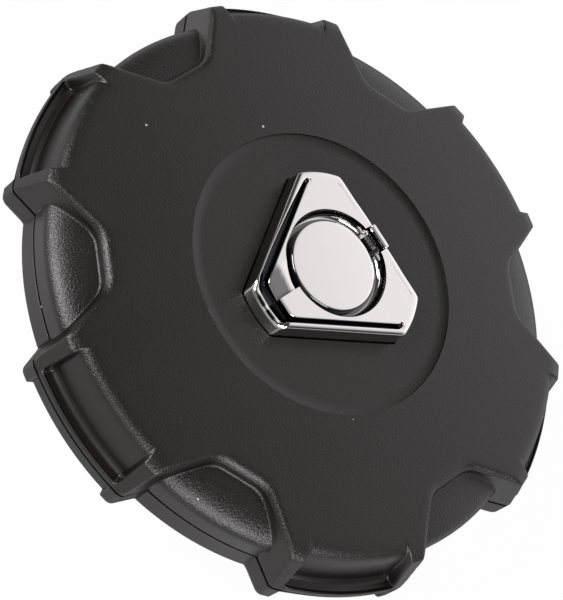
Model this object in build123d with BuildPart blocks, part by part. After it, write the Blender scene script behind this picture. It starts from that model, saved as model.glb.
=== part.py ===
"""Locking fuel filler cap for an 80 mm bayonet neck.

The cap stands face up on its bayonet plate. +Z runs up along the cap's axis, and the
origin is on that axis, at the lowest face. The three corners of the bezel point at 30,
150 and 270 degrees, and the lock bolt leaves at 270 degrees. All sizes are millimetres.
"""
import os
from math import cos, radians, sin, sqrt

from build123d import *

# Levels, measured down from the face plane unless said otherwise
face_z = 35.0
shell_height = 12.2
parting_gap = 0.3
ring_height = 5.3
seal_drop = 15.0
running_gap = 0.3
seat_gap = 0.1

# Moulded upper shell
lobe_count = 6
horn_reach = 5.3
horn_draft = 2.3
lobe_round = 2.8
dome_radius = 551.0
disc_radius = 29.5
disc_recess = 0.5
face_thickness = 4.3
wall_thickness = 3.4
shoulder_reach = 8.15
shoulder_run = 8.5
scallop_half_width = 5.26
scallop_wall_angle = 42.7
scallop_corner = 5.0
scallop_draft = 5.5
step_depth = 4.0
step_slope = 2.2
shoulder_drop = 8.6
horn_round = 1.6
pocket_angle = 23.0
pocket_depth = 3.8
pocket_base_depth = 3.1
pocket_floor_drop = 11.3
pocket_top_drop = 1.2
gutter_round = 0.8
lip_thickness = 0.4
lip_height = 0.4
rib_count = 12
rib_width = 1.6
rib_length = 5.2
rib_height = 2.8

# Lower ring
ring_clearance = 5.4
ring_width = 6.6
ring_draft = 1.9
nub_round = 1.3
ring_lip_height = 3.1
ring_wall = 2.1
ring_web_setback = 1.0

# Chromed bezel and its well
bezel_side = 13.75
bezel_back = 13.75
bezel_corner_radius = 19.75
bezel_height = 4.0
bezel_base_drop = 2.0
bezel_draft = 5.0
bezel_edge_round = 0.55
bezel_vertex_round = 0.9
pocket_margin = 0.35
well_radius = 11.2
well_chamfer = 0.9
well_ledge_height = 1.75
well_bore_radius = 9.0
bezel_skirt_radius = 12.0
channel_inner = 11.4
channel_outer = 12.5
channel_end_radius = 18.3
channel_floor_height = 2.6
plate_front = 15.9
corner_rim_height = 2.9
corner_floor_height = 2.2
corner_rim_inner = 17.7
ramp_width = 5.6
ramp_drop = 1.1
front_notch_width = 7.6
front_notch_depth = 1.2
bezel_screw_depth = 2.6

# Dust flap and its hinge
flap_radius = 9.5
flap_top_height = 3.6
flap_thickness = 1.7
hinge_y = 11.7
hinge_height = 2.5
pin_radius = 0.6
pin_length = 9.0
pin_clearance = 0.05
knuckle_radius = 1.15
knuckle_inner_x = 1.25
knuckle_outer_x = 2.45
knuckle_root = 0.8
flap_edge_chamfer = 0.35
flap_relief = 0.6
pin_chamfer = 0.15
hinge_slot_half = 2.75
hinge_slot_back = 13.05
hinge_slot_front = 8.5
lug_half_width = 2.75
lug_back = 14.2
lug_depth = 4.4
lug_height = 4.3
coil_radius = 1.0
coil_wire = 0.25
coil_turns = 3
coil_gap = 0.08

# Lock cylinder
plug_radius = 7.0
plug_clearance = 0.05
plug_face_drop = 0.9
plug_head_radius = 7.8
plug_head_height = 1.2
keyway_width = 2.2
keyway_length = 8.6
keyway_depth = 18.0
wafer_count = 5
wafer_pitch = 3.0
wafer_thickness = 1.0
wafer_width = 5.0
wafer_length = 12.4
wafer_first_drop = 4.6
wafer_step = 0.6
wafer_groove_depth = 1.2
plug_edge = 0.4
housing_radius = 11.0
housing_bottom_drop = 21.0
housing_flange_radius = 18.3
housing_flange_thickness = 3.0
housing_screw_circle = 15.0
small_screw_radius = 1.4
small_head_radius = 2.6
small_head_height = 1.9
clip_radius = 8.6
clip_thickness = 0.8
clip_neck_radius = 5.8
clip_mouth = 9.2
tail_width = 6.0
cam_radius = 7.5
cam_thickness = 2.0
crank_radius = 4.5
crank_pin_radius = 1.5

# Lock bolt and its guide
bolt_width = 16.0
bolt_thickness = 4.0
bolt_rear_y = 8.0
bolt_tip_inset = 0.4
bolt_corner = 1.5
rail_margin = 1.5
rail_rear_y = 6.5
yoke_clearance = 0.3
guide_front_y = -27.0
guide_rear_y = -20.0
guide_sheet = 1.5
guide_foot = 5.0
guide_screw_x = 11.6
guide_screw_radius = 1.0
guide_screw_depth = 1.8
guide_head_radius = 1.7
guide_head_height = 1.2

# Spigot, bayonet plate and seal
spigot_radius = 35.0
spigot_wall = 3.0
spigot_flange_width = 8.0
spigot_flange_thickness = 2.5
spigot_floor = 2.5
spigot_foot_chamfer = 0.8
bayonet_thickness = 2.0
bayonet_disc_inset = 5.0
ear_reach = 4.5
ear_width = 22.0
ear_ramp = 1.0
spigot_screw_inset = 9.5
spigot_screw_radius = 1.7
spigot_head_radius = 3.4
spigot_head_height = 2.4
boss_radius = 4.5
boss_screw_engagement = 6.5
lug_top_drop = 12.0
spigot_lug_thickness = 3.0
rivet_inset = 6.0
rivet_radius = 2.0
rivet_head_radius = 3.6
rivet_head_height = 1.3
rivet_sink = 1.4
seal_width = 9.0
seal_thickness = 3.0
press_rim_width = 1.0
press_plate_sheet = 1.2
press_rim_drop = 2.2
disc_spring_sheet = 0.8
retainer_width = 1.9
retainer_thickness = 1.0
retainer_opening = 7.0
spring_setback = 1.5
bead_width = 2.0
bead_edge = 0.6

# Vent valve
vent_y = 20.0
vent_hole_radius = 2.5
cage_radius = 6.5
cage_bore_radius = 5.0
cage_flange_radius = 9.0
cage_height = 10.0
cage_sheet = 1.2
cage_edge = 0.8
cage_window_width = 2.4
cage_window_height = 4.8
stem_end_inset = 0.4
poppet_radius = 4.5
poppet_thickness = 1.5
stem_radius = 1.2
vent_coil_radius = 3.3
vent_coil_wire = 0.4
vent_coil_turns = 4

thread_gap = 0.05
rivet_angles = (35, 145, 215, 325)
screw_start_angle = 30


def drop(depth):
    """Height in the part's frame of a level given as a depth below the face plane."""
    return face_z - depth


def dome_z(radius):
    """Height of the domed face at a radius; the dome starts at the recessed disc's edge."""
    return face_z - sqrt(dome_radius ** 2 - disc_radius ** 2) + sqrt(dome_radius ** 2 - radius ** 2)


# Radii, worked outwards from the spigot that has to fit the neck
spigot_flange_radius = spigot_radius + spigot_flange_width
bayonet_disc_radius = spigot_radius - bayonet_disc_inset
ear_radius = spigot_radius + ear_reach
rivet_circle = bayonet_disc_radius - rivet_inset
spigot_screw_circle = spigot_radius - spigot_screw_inset
seal_outer_radius = spigot_radius + seal_width
press_rim_bore = seal_outer_radius + thread_gap
press_plate_radius = seal_outer_radius + press_rim_width
ring_bore_radius = press_plate_radius + ring_clearance
shoulder_radius = ring_bore_radius + ring_width
scallop_depth_radius = shoulder_radius - shoulder_reach
skirt_radius = shoulder_radius + horn_reach
lobe_radius = skirt_radius - horn_draft
ring_bottom_radius = skirt_radius - ring_draft
pocket_top_radius = skirt_radius - pocket_depth
pocket_base_radius = skirt_radius - pocket_base_depth
lip_radius = skirt_radius - lip_thickness

# Levels and the other sizes that follow
parting_z = drop(shell_height)
ceiling_z = drop(face_thickness)
round_start = lobe_radius - lobe_round
round_z = dome_z(round_start)
ring_top_z = parting_z - parting_gap
ring_bottom_z = ring_top_z - ring_height
ring_seat_z = ring_top_z + ring_lip_height
shell_bore_radius = shoulder_radius - wall_thickness
step_inner_radius = scallop_depth_radius - wall_thickness
shoulder_start = shoulder_radius - shoulder_run
pocket_floor_z = drop(pocket_floor_drop)
bezel_base_z = drop(bezel_base_drop)
bezel_top_z = drop(-bezel_height)
well_ledge_z = drop(-well_ledge_height)
hinge_z = drop(-hinge_height)
flap_top_z = drop(-flap_top_height)
coil_pitch = 2 * coil_wire + coil_gap
arm_start = flap_radius - hinge_y - knuckle_root
arm_half = flap_thickness / 2 + seat_gap
plug_top_z = drop(plug_face_drop)
housing_flange_z = ceiling_z - housing_flange_thickness
housing_bottom_z = drop(housing_bottom_drop)
floor_bottom_z = bayonet_thickness
floor_top_z = floor_bottom_z + spigot_floor
flange_bottom_z = ceiling_z - spigot_flange_thickness
lug_top_z = drop(lug_top_drop)
rib_middle = press_plate_radius + 2 * running_gap + rib_length / 2
lug_bottom_z = lug_top_z - spigot_lug_thickness
seal_bottom_z = drop(seal_drop)
seal_top_z = seal_bottom_z + seal_thickness
press_top_z = seal_top_z + press_plate_sheet
clip_top_z = housing_bottom_z - seat_gap
cam_top_z = clip_top_z - clip_thickness - seat_gap
cam_bottom_z = cam_top_z - cam_thickness
bolt_top_z = cam_bottom_z - running_gap
bolt_bottom_z = bolt_top_z - bolt_thickness
guide_inner = bolt_width / 2 + running_gap
guide_outer = guide_inner + guide_sheet
guide_reach = guide_inner + guide_foot
guide_middle_y = (guide_front_y + guide_rear_y) / 2
guide_under_z = bolt_top_z + running_gap
guide_top_z = guide_under_z + guide_sheet
foot_top_z = floor_top_z + guide_sheet
bolt_tip_y = -(spigot_radius - bolt_tip_inset)
crank_rest = crank_radius * sin(radians(45))
yoke_half = crank_pin_radius + yoke_clearance
yoke_left = crank_rest - yoke_half
yoke_right = crank_radius + yoke_half
crank_pin_reach = bolt_thickness + running_gap - seat_gap
plug_bore_radius = plug_radius + plug_clearance
spring_inner = spigot_radius + spring_setback
spring_outer = spigot_flange_radius
press_bore_radius = spigot_radius + running_gap
seal_bore = press_bore_radius + seat_gap
bead_inner = seal_bore + bead_edge + bead_width
bead_outer = seal_outer_radius - bead_edge - bead_width
bead_z = seal_bottom_z + bead_edge
cage_top_z = floor_top_z + cage_height
poppet_bottom_z = floor_top_z + seat_gap
poppet_top_z = poppet_bottom_z + poppet_thickness
vent_coil_room = cage_top_z - cage_sheet - poppet_top_z - 2 * (vent_coil_wire + seat_gap)
rivet_points = [(rivet_circle * cos(radians(angle)), rivet_circle * sin(radians(angle)))
                for angle in rivet_angles]
on_base = (Align.CENTER, Align.CENTER, Align.MIN)
under_base = (Align.CENTER, Align.CENTER, Align.MAX)


def wedge_sketch(side, back, corner_radius, vertex_round=0.0):
    """Triangle with one corner at the front and each corner cut by a circle."""
    half_width = (back + 2 * side) / sqrt(3)
    with BuildSketch(mode=Mode.PRIVATE) as outline:
        with BuildLine():
            Polyline((0, -2 * side), (half_width, back), (-half_width, back), close=True)
        make_face()
        Circle(corner_radius, mode=Mode.INTERSECT)
        if vertex_round:
            fillet(outline.vertices(), vertex_round)
    return outline.sketch


def scallop_sketch(floor_radius, reach):
    """Finger scallop on the +X side: a flat bottom and two walls that open outwards."""
    slope = sin(radians(scallop_wall_angle)) / cos(radians(scallop_wall_angle))
    open_half = scallop_half_width + (reach - floor_radius) / slope
    with BuildSketch(mode=Mode.PRIVATE) as outline:
        with BuildLine():
            Polyline((floor_radius, scallop_half_width), (reach, open_half),
                     (reach, -open_half), (floor_radius, -scallop_half_width), close=True)
        make_face()
        fillet(outline.vertices().group_by(Axis.X)[0], scallop_corner)
    return outline.sketch


def lobed_sketch(outer_radius):
    """Circle with the six finger scallops taken out and each horn's tip rounded."""
    with BuildSketch(mode=Mode.PRIVATE) as outline:
        Circle(outer_radius)
        with PolarLocations(0, lobe_count):
            add(scallop_sketch(scallop_depth_radius, 1.2 * outer_radius), mode=Mode.SUBTRACT)
        tips = outline.vertices().filter_by(lambda v: v.center().length > outer_radius - 0.1)
        fillet(tips, horn_round)
    return outline.sketch


def screw(shank_radius, head_radius, head_height, head_bottom, shank_top):
    """Pan-head screw that stands head down, with a cross recess in its head."""
    with BuildPart() as fastener:
        with BuildSketch(Plane.XY.offset(head_bottom)):
            Circle(head_radius)
        extrude(amount=head_height)
        chamfer(fastener.edges().group_by(Axis.Z)[0], head_height * 0.3)
        with BuildSketch(Plane.XY.offset(head_bottom + head_height)):
            Circle(shank_radius)
        extrude(amount=shank_top - head_bottom - head_height)
        chamfer(fastener.edges().group_by(Axis.Z)[-1], shank_radius * 0.3)
        with BuildSketch(Plane.XY.offset(head_bottom)):
            Rectangle(head_radius * 1.1, head_radius * 0.3)
            Rectangle(head_radius * 0.3, head_radius * 1.1)
        extrude(amount=head_height * 0.5, mode=Mode.SUBTRACT)
    return fastener.part


def coil_spring(wire_radius, coil, turns, pitch):
    """Round-wire helix about Z that starts at the origin plane."""
    with BuildPart() as spring:
        with BuildLine():
            path = Helix(pitch=pitch, height=pitch * turns, radius=coil)
        with BuildSketch(Plane(origin=path @ 0, z_dir=path % 0)):
            RegularPolygon(wire_radius, 6)
        sweep(is_frenet=True)
    return spring.part


# Upper shell: a lobed dome with six finger scallops, each with a stepped shoulder
with BuildPart() as upper_shell:
    with BuildSketch(Plane.XZ):
        with BuildLine():
            RadiusArc((disc_radius, face_z), (round_start, round_z), dome_radius)
            RadiusArc((round_start, round_z), (lobe_radius, round_z - lobe_round), lobe_round)
            Polyline((lobe_radius, round_z - lobe_round), (skirt_radius, parting_z), (0, parting_z),
                     (0, drop(disc_recess)), (disc_radius, drop(disc_recess)), (disc_radius, face_z))
        make_face()
    revolve(axis=Axis.Z)
    with BuildSketch(Plane.XY.offset(parting_z)):
        add(lobed_sketch(skirt_radius))
    extrude(amount=shell_height, taper=scallop_draft, mode=Mode.INTERSECT)
    # Stepped shoulder under each scallop
    with BuildSketch(Plane.XZ):
        with BuildLine():
            Line((0, parting_z), (0, drop(step_depth)))
            Line((0, drop(step_depth)), (shoulder_start, drop(step_depth)))
            Spline((shoulder_start, drop(step_depth)), (shoulder_radius, drop(shoulder_drop)),
                   tangents=((4, -1), (1, -20)))
            Polyline((shoulder_radius, drop(shoulder_drop)), (shoulder_radius, parting_z), (0, parting_z))
        make_face()
    revolve(axis=Axis.Z)
    # Side pocket in each lobe, with a gutter behind its lip
    for lobe in range(lobe_count):
        start = 360 / lobe_count * (lobe + 0.5) - pocket_angle / 2
        with BuildSketch(Plane.XZ.rotated((0, 0, start))):
            with BuildLine():
                Polyline((pocket_top_radius, face_z), (pocket_top_radius, round_z - pocket_top_drop),
                         (pocket_base_radius, pocket_floor_z + gutter_round),
                         (pocket_base_radius + gutter_round, pocket_floor_z),
                         (lip_radius, pocket_floor_z), (lip_radius, pocket_floor_z + lip_height),
                         (1.1 * skirt_radius, pocket_floor_z + lip_height), (1.1 * skirt_radius, face_z),
                         close=True)
            make_face()
        revolve(axis=Axis.Z, revolution_arc=pocket_angle, mode=Mode.SUBTRACT)
    # Hollow underside with the ledge that seats the lower ring
    with BuildSketch(Plane.XZ):
        with BuildLine():
            Polyline((0, parting_z), (0, ceiling_z), (step_inner_radius, ceiling_z),
                     (step_inner_radius + step_slope, ceiling_z - step_slope),
                     (ring_bore_radius, ring_seat_z), (shell_bore_radius, ring_seat_z),
                     (shell_bore_radius, parting_z), close=True)
        make_face()
    revolve(axis=Axis.Z, mode=Mode.SUBTRACT)
    # Stiffening ribs under the face, clear of the pressure plate
    with BuildSketch(Plane.XY.offset(ring_seat_z)):
        with PolarLocations(rib_middle, rib_count, start_angle=180 / rib_count):
            Rectangle(rib_length, rib_width)
    extrude(amount=rib_height)
    # Bosses for the spigot's screws
    with BuildSketch(Plane.XY.offset(lug_top_z)):
        with PolarLocations(spigot_screw_circle, 3, start_angle=screw_start_angle):
            Circle(boss_radius)
    extrude(amount=ceiling_z - lug_top_z)
    with BuildSketch(Plane.XY.offset(lug_top_z)):
        with PolarLocations(spigot_screw_circle, 3, start_angle=screw_start_angle):
            Circle(spigot_screw_radius + thread_gap)
    extrude(amount=boss_screw_engagement + running_gap, mode=Mode.SUBTRACT)
    # Seat for the bezel and the bore for its skirt
    with BuildSketch(Plane.XY.offset(bezel_base_z)):
        add(wedge_sketch(bezel_side + pocket_margin, bezel_back + pocket_margin,
                         bezel_corner_radius + pocket_margin, bezel_vertex_round))
    extrude(amount=bezel_base_drop, mode=Mode.SUBTRACT)
    with BuildSketch(Plane.XY.offset(ceiling_z)):
        Circle(bezel_skirt_radius + seat_gap)
        with PolarLocations(housing_screw_circle, 3, start_angle=screw_start_angle):
            Circle(small_screw_radius + running_gap)
    extrude(amount=bezel_base_z - ceiling_z, mode=Mode.SUBTRACT)

# Lower ring: it carries a nub under each horn, and a lip that fits inside the shell
with BuildPart() as lower_ring:
    with BuildSketch(Plane.XZ) as ring_profile:
        with BuildLine():
            Polyline((ring_bore_radius, ring_bottom_z), (skirt_radius, ring_bottom_z),
                     (skirt_radius, ring_top_z), (ring_bore_radius, ring_top_z), close=True)
        make_face()
        fillet(ring_profile.vertices().group_by(Axis.Y)[0].sort_by(Axis.X)[-1], nub_round)
    revolve(axis=Axis.Z)
    with BuildSketch(Plane.XY.offset(ring_bottom_z)):
        add(lobed_sketch(skirt_radius))
        Circle(shoulder_radius)
    extrude(amount=ring_height, mode=Mode.INTERSECT)
    # Tapered wall between the two nubs of each lobe
    for lobe in range(lobe_count):
        start = 360 / lobe_count * (lobe + 0.5) - pocket_angle / 2
        with BuildSketch(Plane.XZ.rotated((0, 0, start))):
            with BuildLine():
                Polyline((skirt_radius, ring_top_z), (ring_bottom_radius, ring_bottom_z),
                         (1.1 * skirt_radius, ring_bottom_z), (1.1 * skirt_radius, ring_top_z), close=True)
            make_face()
        revolve(axis=Axis.Z, revolution_arc=pocket_angle, mode=Mode.SUBTRACT)
    with BuildSketch(Plane.XY.offset(ring_top_z)):
        Circle(shell_bore_radius - 2 * seat_gap)
        Circle(ring_bore_radius, mode=Mode.SUBTRACT)
    extrude(amount=ring_lip_height)
    # Core that lightens the ring from below
    with BuildSketch(Plane.XY.offset(ring_bottom_z)):
        Circle(shoulder_radius - ring_wall)
        Circle(ring_bore_radius + ring_wall, mode=Mode.SUBTRACT)
    extrude(amount=ring_height - ring_wall, mode=Mode.SUBTRACT)
    # Webs across the core
    with BuildSketch(Plane.XY.offset(ring_bottom_z)):
        with PolarLocations((ring_bore_radius + shoulder_radius) / 2, rib_count):
            Rectangle(shoulder_radius - ring_bore_radius - ring_wall, rib_width)
    extrude(amount=ring_height - ring_web_setback)

# Bezel: a three-cornered chromed casting with the well of the lock
with BuildPart() as lock_bezel:
    with BuildSketch(Plane.XY.offset(bezel_base_z)):
        add(wedge_sketch(bezel_side, bezel_back, bezel_corner_radius, bezel_vertex_round))
    extrude(amount=bezel_top_z - bezel_base_z, taper=bezel_draft)
    fillet(lock_bezel.faces().sort_by(Axis.Z)[-1].edges(), bezel_edge_round)
    # Hinge lug on the back edge
    with BuildSketch(Plane.XY.offset(drop(disc_recess) + seat_gap)):
        with Locations((0, lug_back)):
            Rectangle(2 * lug_half_width, lug_depth, align=(Align.CENTER, Align.MAX))
    extrude(amount=lug_height + disc_recess - seat_gap)
    # Channels along the two front sides, meeting in the low front corner
    with BuildSketch(Plane.XY.offset(drop(-channel_floor_height))):
        add(wedge_sketch(channel_outer, bezel_back, channel_end_radius))
        add(wedge_sketch(channel_inner, 2 * bezel_back, 3 * bezel_corner_radius), mode=Mode.SUBTRACT)
    extrude(amount=bezel_height, mode=Mode.SUBTRACT)
    with BuildSketch(Plane.XY.offset(drop(-corner_floor_height))):
        add(wedge_sketch(channel_outer, bezel_back, corner_rim_inner))
        with Locations((0, -plate_front)):
            Rectangle(2 * bezel_corner_radius, 3 * bezel_corner_radius, align=(Align.CENTER, Align.MIN),
                      mode=Mode.SUBTRACT)
    extrude(amount=bezel_height, mode=Mode.SUBTRACT)
    with BuildSketch(Plane.XY.offset(drop(-corner_rim_height))):
        with Locations((0, front_notch_depth - corner_rim_inner)):
            Rectangle(front_notch_width, bezel_corner_radius, align=(Align.CENTER, Align.MAX))
    extrude(amount=bezel_height, mode=Mode.SUBTRACT)
    # Fingernail ramp beside the well
    with BuildSketch(Plane.XZ.offset(well_bore_radius)):
        with BuildLine():
            Polyline((-ramp_width, bezel_top_z), (0, bezel_top_z - ramp_drop),
                     (0, bezel_top_z + ramp_drop), (-ramp_width, bezel_top_z + ramp_drop), close=True)
        make_face()
    extrude(amount=bezel_corner_radius, mode=Mode.SUBTRACT)
    # Skirt through the shell, then the stepped well
    with BuildSketch(Plane.XY.offset(ceiling_z)):
        Circle(bezel_skirt_radius)
    extrude(amount=bezel_base_z - ceiling_z)
    with BuildSketch(Plane.XY.offset(ceiling_z)):
        Circle(well_bore_radius)
    extrude(amount=face_z, mode=Mode.SUBTRACT)
    with BuildSketch(Plane.XZ):
        with BuildLine():
            Polyline((0, well_ledge_z), (well_radius, well_ledge_z),
                     (well_radius, bezel_top_z - well_chamfer),
                     (well_radius + 2 * well_chamfer, bezel_top_z + well_chamfer),
                     (0, bezel_top_z + well_chamfer), close=True)
        make_face()
    revolve(axis=Axis.Z, mode=Mode.SUBTRACT)
    # Slot for the flap's knuckles and the cross hole for the hinge pin
    with BuildSketch(Plane.XY.offset(hinge_z - knuckle_radius - running_gap)):
        with Locations((0, hinge_slot_back)):
            Rectangle(2 * hinge_slot_half, hinge_slot_back - hinge_slot_front,
                      align=(Align.CENTER, Align.MAX))
    extrude(amount=bezel_height, mode=Mode.SUBTRACT)
    with BuildSketch(Plane(origin=(0, hinge_y, hinge_z), z_dir=(1, 0, 0))):
        Circle(pin_radius + pin_clearance)
    extrude(amount=pin_length / 2 + seat_gap, both=True, mode=Mode.SUBTRACT)
    with BuildSketch(Plane.XY.offset(bezel_base_z)):
        with PolarLocations(housing_screw_circle, 3, start_angle=screw_start_angle):
            Circle(small_screw_radius + thread_gap)
    extrude(amount=bezel_screw_depth + seat_gap, mode=Mode.SUBTRACT)

with BuildPart() as flap_pin:
    with BuildSketch(Plane(origin=(0, hinge_y, hinge_z), z_dir=(1, 0, 0))):
        Circle(pin_radius)
    extrude(amount=pin_length / 2, both=True)
    chamfer(flap_pin.edges(), pin_chamfer)

with BuildPart() as flap_spring:
    coil = coil_spring(coil_wire, coil_radius, coil_turns, coil_pitch)
    add(coil.rotate(Axis.Y, 90).translate((-coil_pitch * coil_turns / 2, hinge_y, hinge_z)))

# Dust flap: a disc with two knuckles on the hinge pin
with BuildPart() as dust_flap:
    with BuildSketch(Plane.XY.offset(flap_top_z - flap_thickness)):
        Circle(flap_radius)
    extrude(amount=flap_thickness)
    chamfer(dust_flap.edges().group_by(Axis.Z)[-1], flap_edge_chamfer)
    for side in (-1, 1):
        middle_x = side * (knuckle_inner_x + knuckle_outer_x) / 2
        with BuildSketch(Plane(origin=(middle_x, hinge_y, hinge_z), x_dir=(0, 1, 0), z_dir=(1, 0, 0))):
            with BuildLine():
                Polyline((arm_start, -arm_half), (0, -knuckle_radius), (0, knuckle_radius),
                         (arm_start, arm_half), close=True)
            make_face()
            Circle(knuckle_radius)
            Circle(pin_radius + pin_clearance, mode=Mode.SUBTRACT)
        extrude(amount=(knuckle_outer_x - knuckle_inner_x) / 2, both=True)
    # Shallow relief under the disc, over the key plug
    with BuildSketch(Plane.XY.offset(flap_top_z - flap_thickness)):
        Circle(plug_head_radius)
    extrude(amount=flap_relief, mode=Mode.SUBTRACT)

# Lock housing: flanged sleeve with two grooves for the wafers
with BuildPart() as lock_housing:
    with BuildSketch(Plane.XY.offset(housing_flange_z)):
        Circle(housing_flange_radius)
    extrude(amount=housing_flange_thickness)
    with BuildSketch(Plane.XY.offset(housing_bottom_z)):
        Circle(housing_radius)
    extrude(amount=housing_flange_z - housing_bottom_z)
    with BuildSketch(Plane.XY.offset(ceiling_z)):
        Circle(well_bore_radius - 2 * seat_gap)
    extrude(amount=plug_top_z - ceiling_z)
    with BuildSketch(Plane.XY.offset(housing_bottom_z)):
        Circle(plug_bore_radius)
    extrude(amount=face_z, mode=Mode.SUBTRACT)
    with BuildSketch(Plane.XY.offset(plug_top_z - plug_head_height)):
        Circle(plug_head_radius + plug_clearance)
    extrude(amount=plug_head_height, mode=Mode.SUBTRACT)
    with BuildSketch(Plane.XY.offset(plug_top_z - keyway_depth)):
        Rectangle(wafer_width + 2 * running_gap, 2 * (plug_radius + wafer_groove_depth))
    extrude(amount=keyway_depth - 2 * plug_head_height, mode=Mode.SUBTRACT)
    with BuildSketch(Plane.XY.offset(housing_flange_z)):
        with PolarLocations(housing_screw_circle, 3, start_angle=screw_start_angle):
            Circle(small_screw_radius + running_gap)
    extrude(amount=housing_flange_thickness, mode=Mode.SUBTRACT)

with BuildPart() as housing_screws:
    with PolarLocations(housing_screw_circle, 3, start_angle=screw_start_angle):
        add(screw(small_screw_radius, small_head_radius, small_head_height,
                  housing_flange_z - small_head_height, bezel_base_z + bezel_screw_depth))

# Key plug with its keyway, wafer slots, clip groove and square tail
with BuildPart() as key_plug:
    with BuildSketch(Plane.XZ):
        with BuildLine():
            Polyline((0, clip_top_z), (plug_radius, clip_top_z),
                     (plug_radius, plug_top_z - plug_head_height),
                     (plug_head_radius, plug_top_z - plug_head_height),
                     (plug_head_radius, plug_top_z - plug_edge),
                     (plug_head_radius - plug_edge, plug_top_z), (0, plug_top_z), close=True)
        make_face()
    revolve(axis=Axis.Z)
    with BuildSketch(Plane.XY.offset(cam_top_z)):
        Circle(clip_neck_radius)
    extrude(amount=clip_top_z - cam_top_z)
    with BuildSketch(Plane.XY.offset(cam_bottom_z)):
        Rectangle(tail_width, tail_width)
    extrude(amount=cam_thickness)
    with BuildSketch(Plane.XY.offset(plug_top_z - keyway_depth)):
        SlotOverall(keyway_length, keyway_width, rotation=90)
    extrude(amount=keyway_depth, mode=Mode.SUBTRACT)
    for wafer in range(wafer_count):
        with BuildSketch(Plane.XY.offset(plug_top_z - wafer_first_drop - wafer * wafer_pitch - seat_gap)):
            Rectangle(wafer_width + 2 * seat_gap, 3 * plug_radius)
        extrude(amount=wafer_thickness + 2 * seat_gap, mode=Mode.SUBTRACT)

# Wafers: five brass plates with a window for the key's blade
with BuildPart() as plug_wafers:
    for wafer in range(wafer_count):
        shift = wafer_step * (wafer % 3 - 1)
        with BuildSketch(Plane.XY.offset(plug_top_z - wafer_first_drop - wafer * wafer_pitch)):
            Rectangle(wafer_width, wafer_length)
            with Locations((0, shift)):
                Rectangle(keyway_width + 2 * seat_gap, keyway_length - 2 * wafer_step, mode=Mode.SUBTRACT)
        extrude(amount=wafer_thickness)

with BuildPart() as plug_clip:
    with BuildSketch(Plane.XY.offset(clip_top_z - clip_thickness)):
        Circle(clip_radius)
        Circle(clip_neck_radius + thread_gap, mode=Mode.SUBTRACT)
        Rectangle(2 * clip_radius, clip_mouth, align=(Align.MIN, Align.CENTER), mode=Mode.SUBTRACT)
    extrude(amount=clip_thickness - seat_gap)

# Cam on the plug's tail: its crank pin drives the bolt
with BuildPart() as lock_cam:
    with BuildSketch(Plane.XY.offset(cam_bottom_z)):
        Circle(cam_radius)
        Rectangle(tail_width + 2 * thread_gap, tail_width + 2 * thread_gap, mode=Mode.SUBTRACT)
    extrude(amount=cam_thickness)
    with BuildSketch(Plane.XY.offset(cam_bottom_z)):
        with Locations((crank_rest, crank_rest)):
            Circle(crank_pin_radius)
    extrude(amount=-crank_pin_reach)

# Lock bolt with the yoke slot for the crank pin
with BuildPart() as lock_bolt:
    with BuildSketch(Plane.XY.offset(bolt_bottom_z)):
        with Locations((0, (bolt_rear_y + bolt_tip_y) / 2)):
            Rectangle(bolt_width, bolt_rear_y - bolt_tip_y)
    extrude(amount=bolt_thickness)
    chamfer(lock_bolt.edges().filter_by(Axis.Z), bolt_corner)
    with BuildSketch(Plane.XY.offset(bolt_bottom_z)):
        with Locations(((yoke_left + yoke_right) / 2, crank_rest)):
            Rectangle(yoke_right - yoke_left, 2 * yoke_half)
    extrude(amount=bolt_thickness, mode=Mode.SUBTRACT)

# Guide: a folded saddle that holds the bolt down on the spigot's floor
with BuildPart() as bolt_guide:
    with BuildSketch(Plane.XZ.offset(-guide_rear_y)):
        with BuildLine():
            Polyline((guide_inner, floor_top_z), (guide_inner, guide_under_z),
                     (-guide_inner, guide_under_z), (-guide_inner, floor_top_z),
                     (-guide_reach, floor_top_z), (-guide_reach, foot_top_z),
                     (-guide_outer, foot_top_z), (-guide_outer, guide_top_z),
                     (guide_outer, guide_top_z), (guide_outer, foot_top_z),
                     (guide_reach, foot_top_z), (guide_reach, floor_top_z), close=True)
        make_face()
    extrude(amount=guide_rear_y - guide_front_y)
    with BuildSketch(Plane.XY.offset(floor_top_z)):
        with Locations((0, guide_middle_y)):
            with GridLocations(2 * guide_screw_x, 1, 2, 1):
                Circle(guide_screw_radius + thread_gap)
    extrude(amount=guide_sheet, mode=Mode.SUBTRACT)

with BuildPart() as guide_screws:
    with Locations((0, guide_middle_y, foot_top_z)):
        with GridLocations(2 * guide_screw_x, 1, 2, 1):
            Cylinder(guide_head_radius, guide_head_height, align=on_base)
            Cylinder(guide_screw_radius, guide_sheet + guide_screw_depth, align=under_base)

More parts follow.
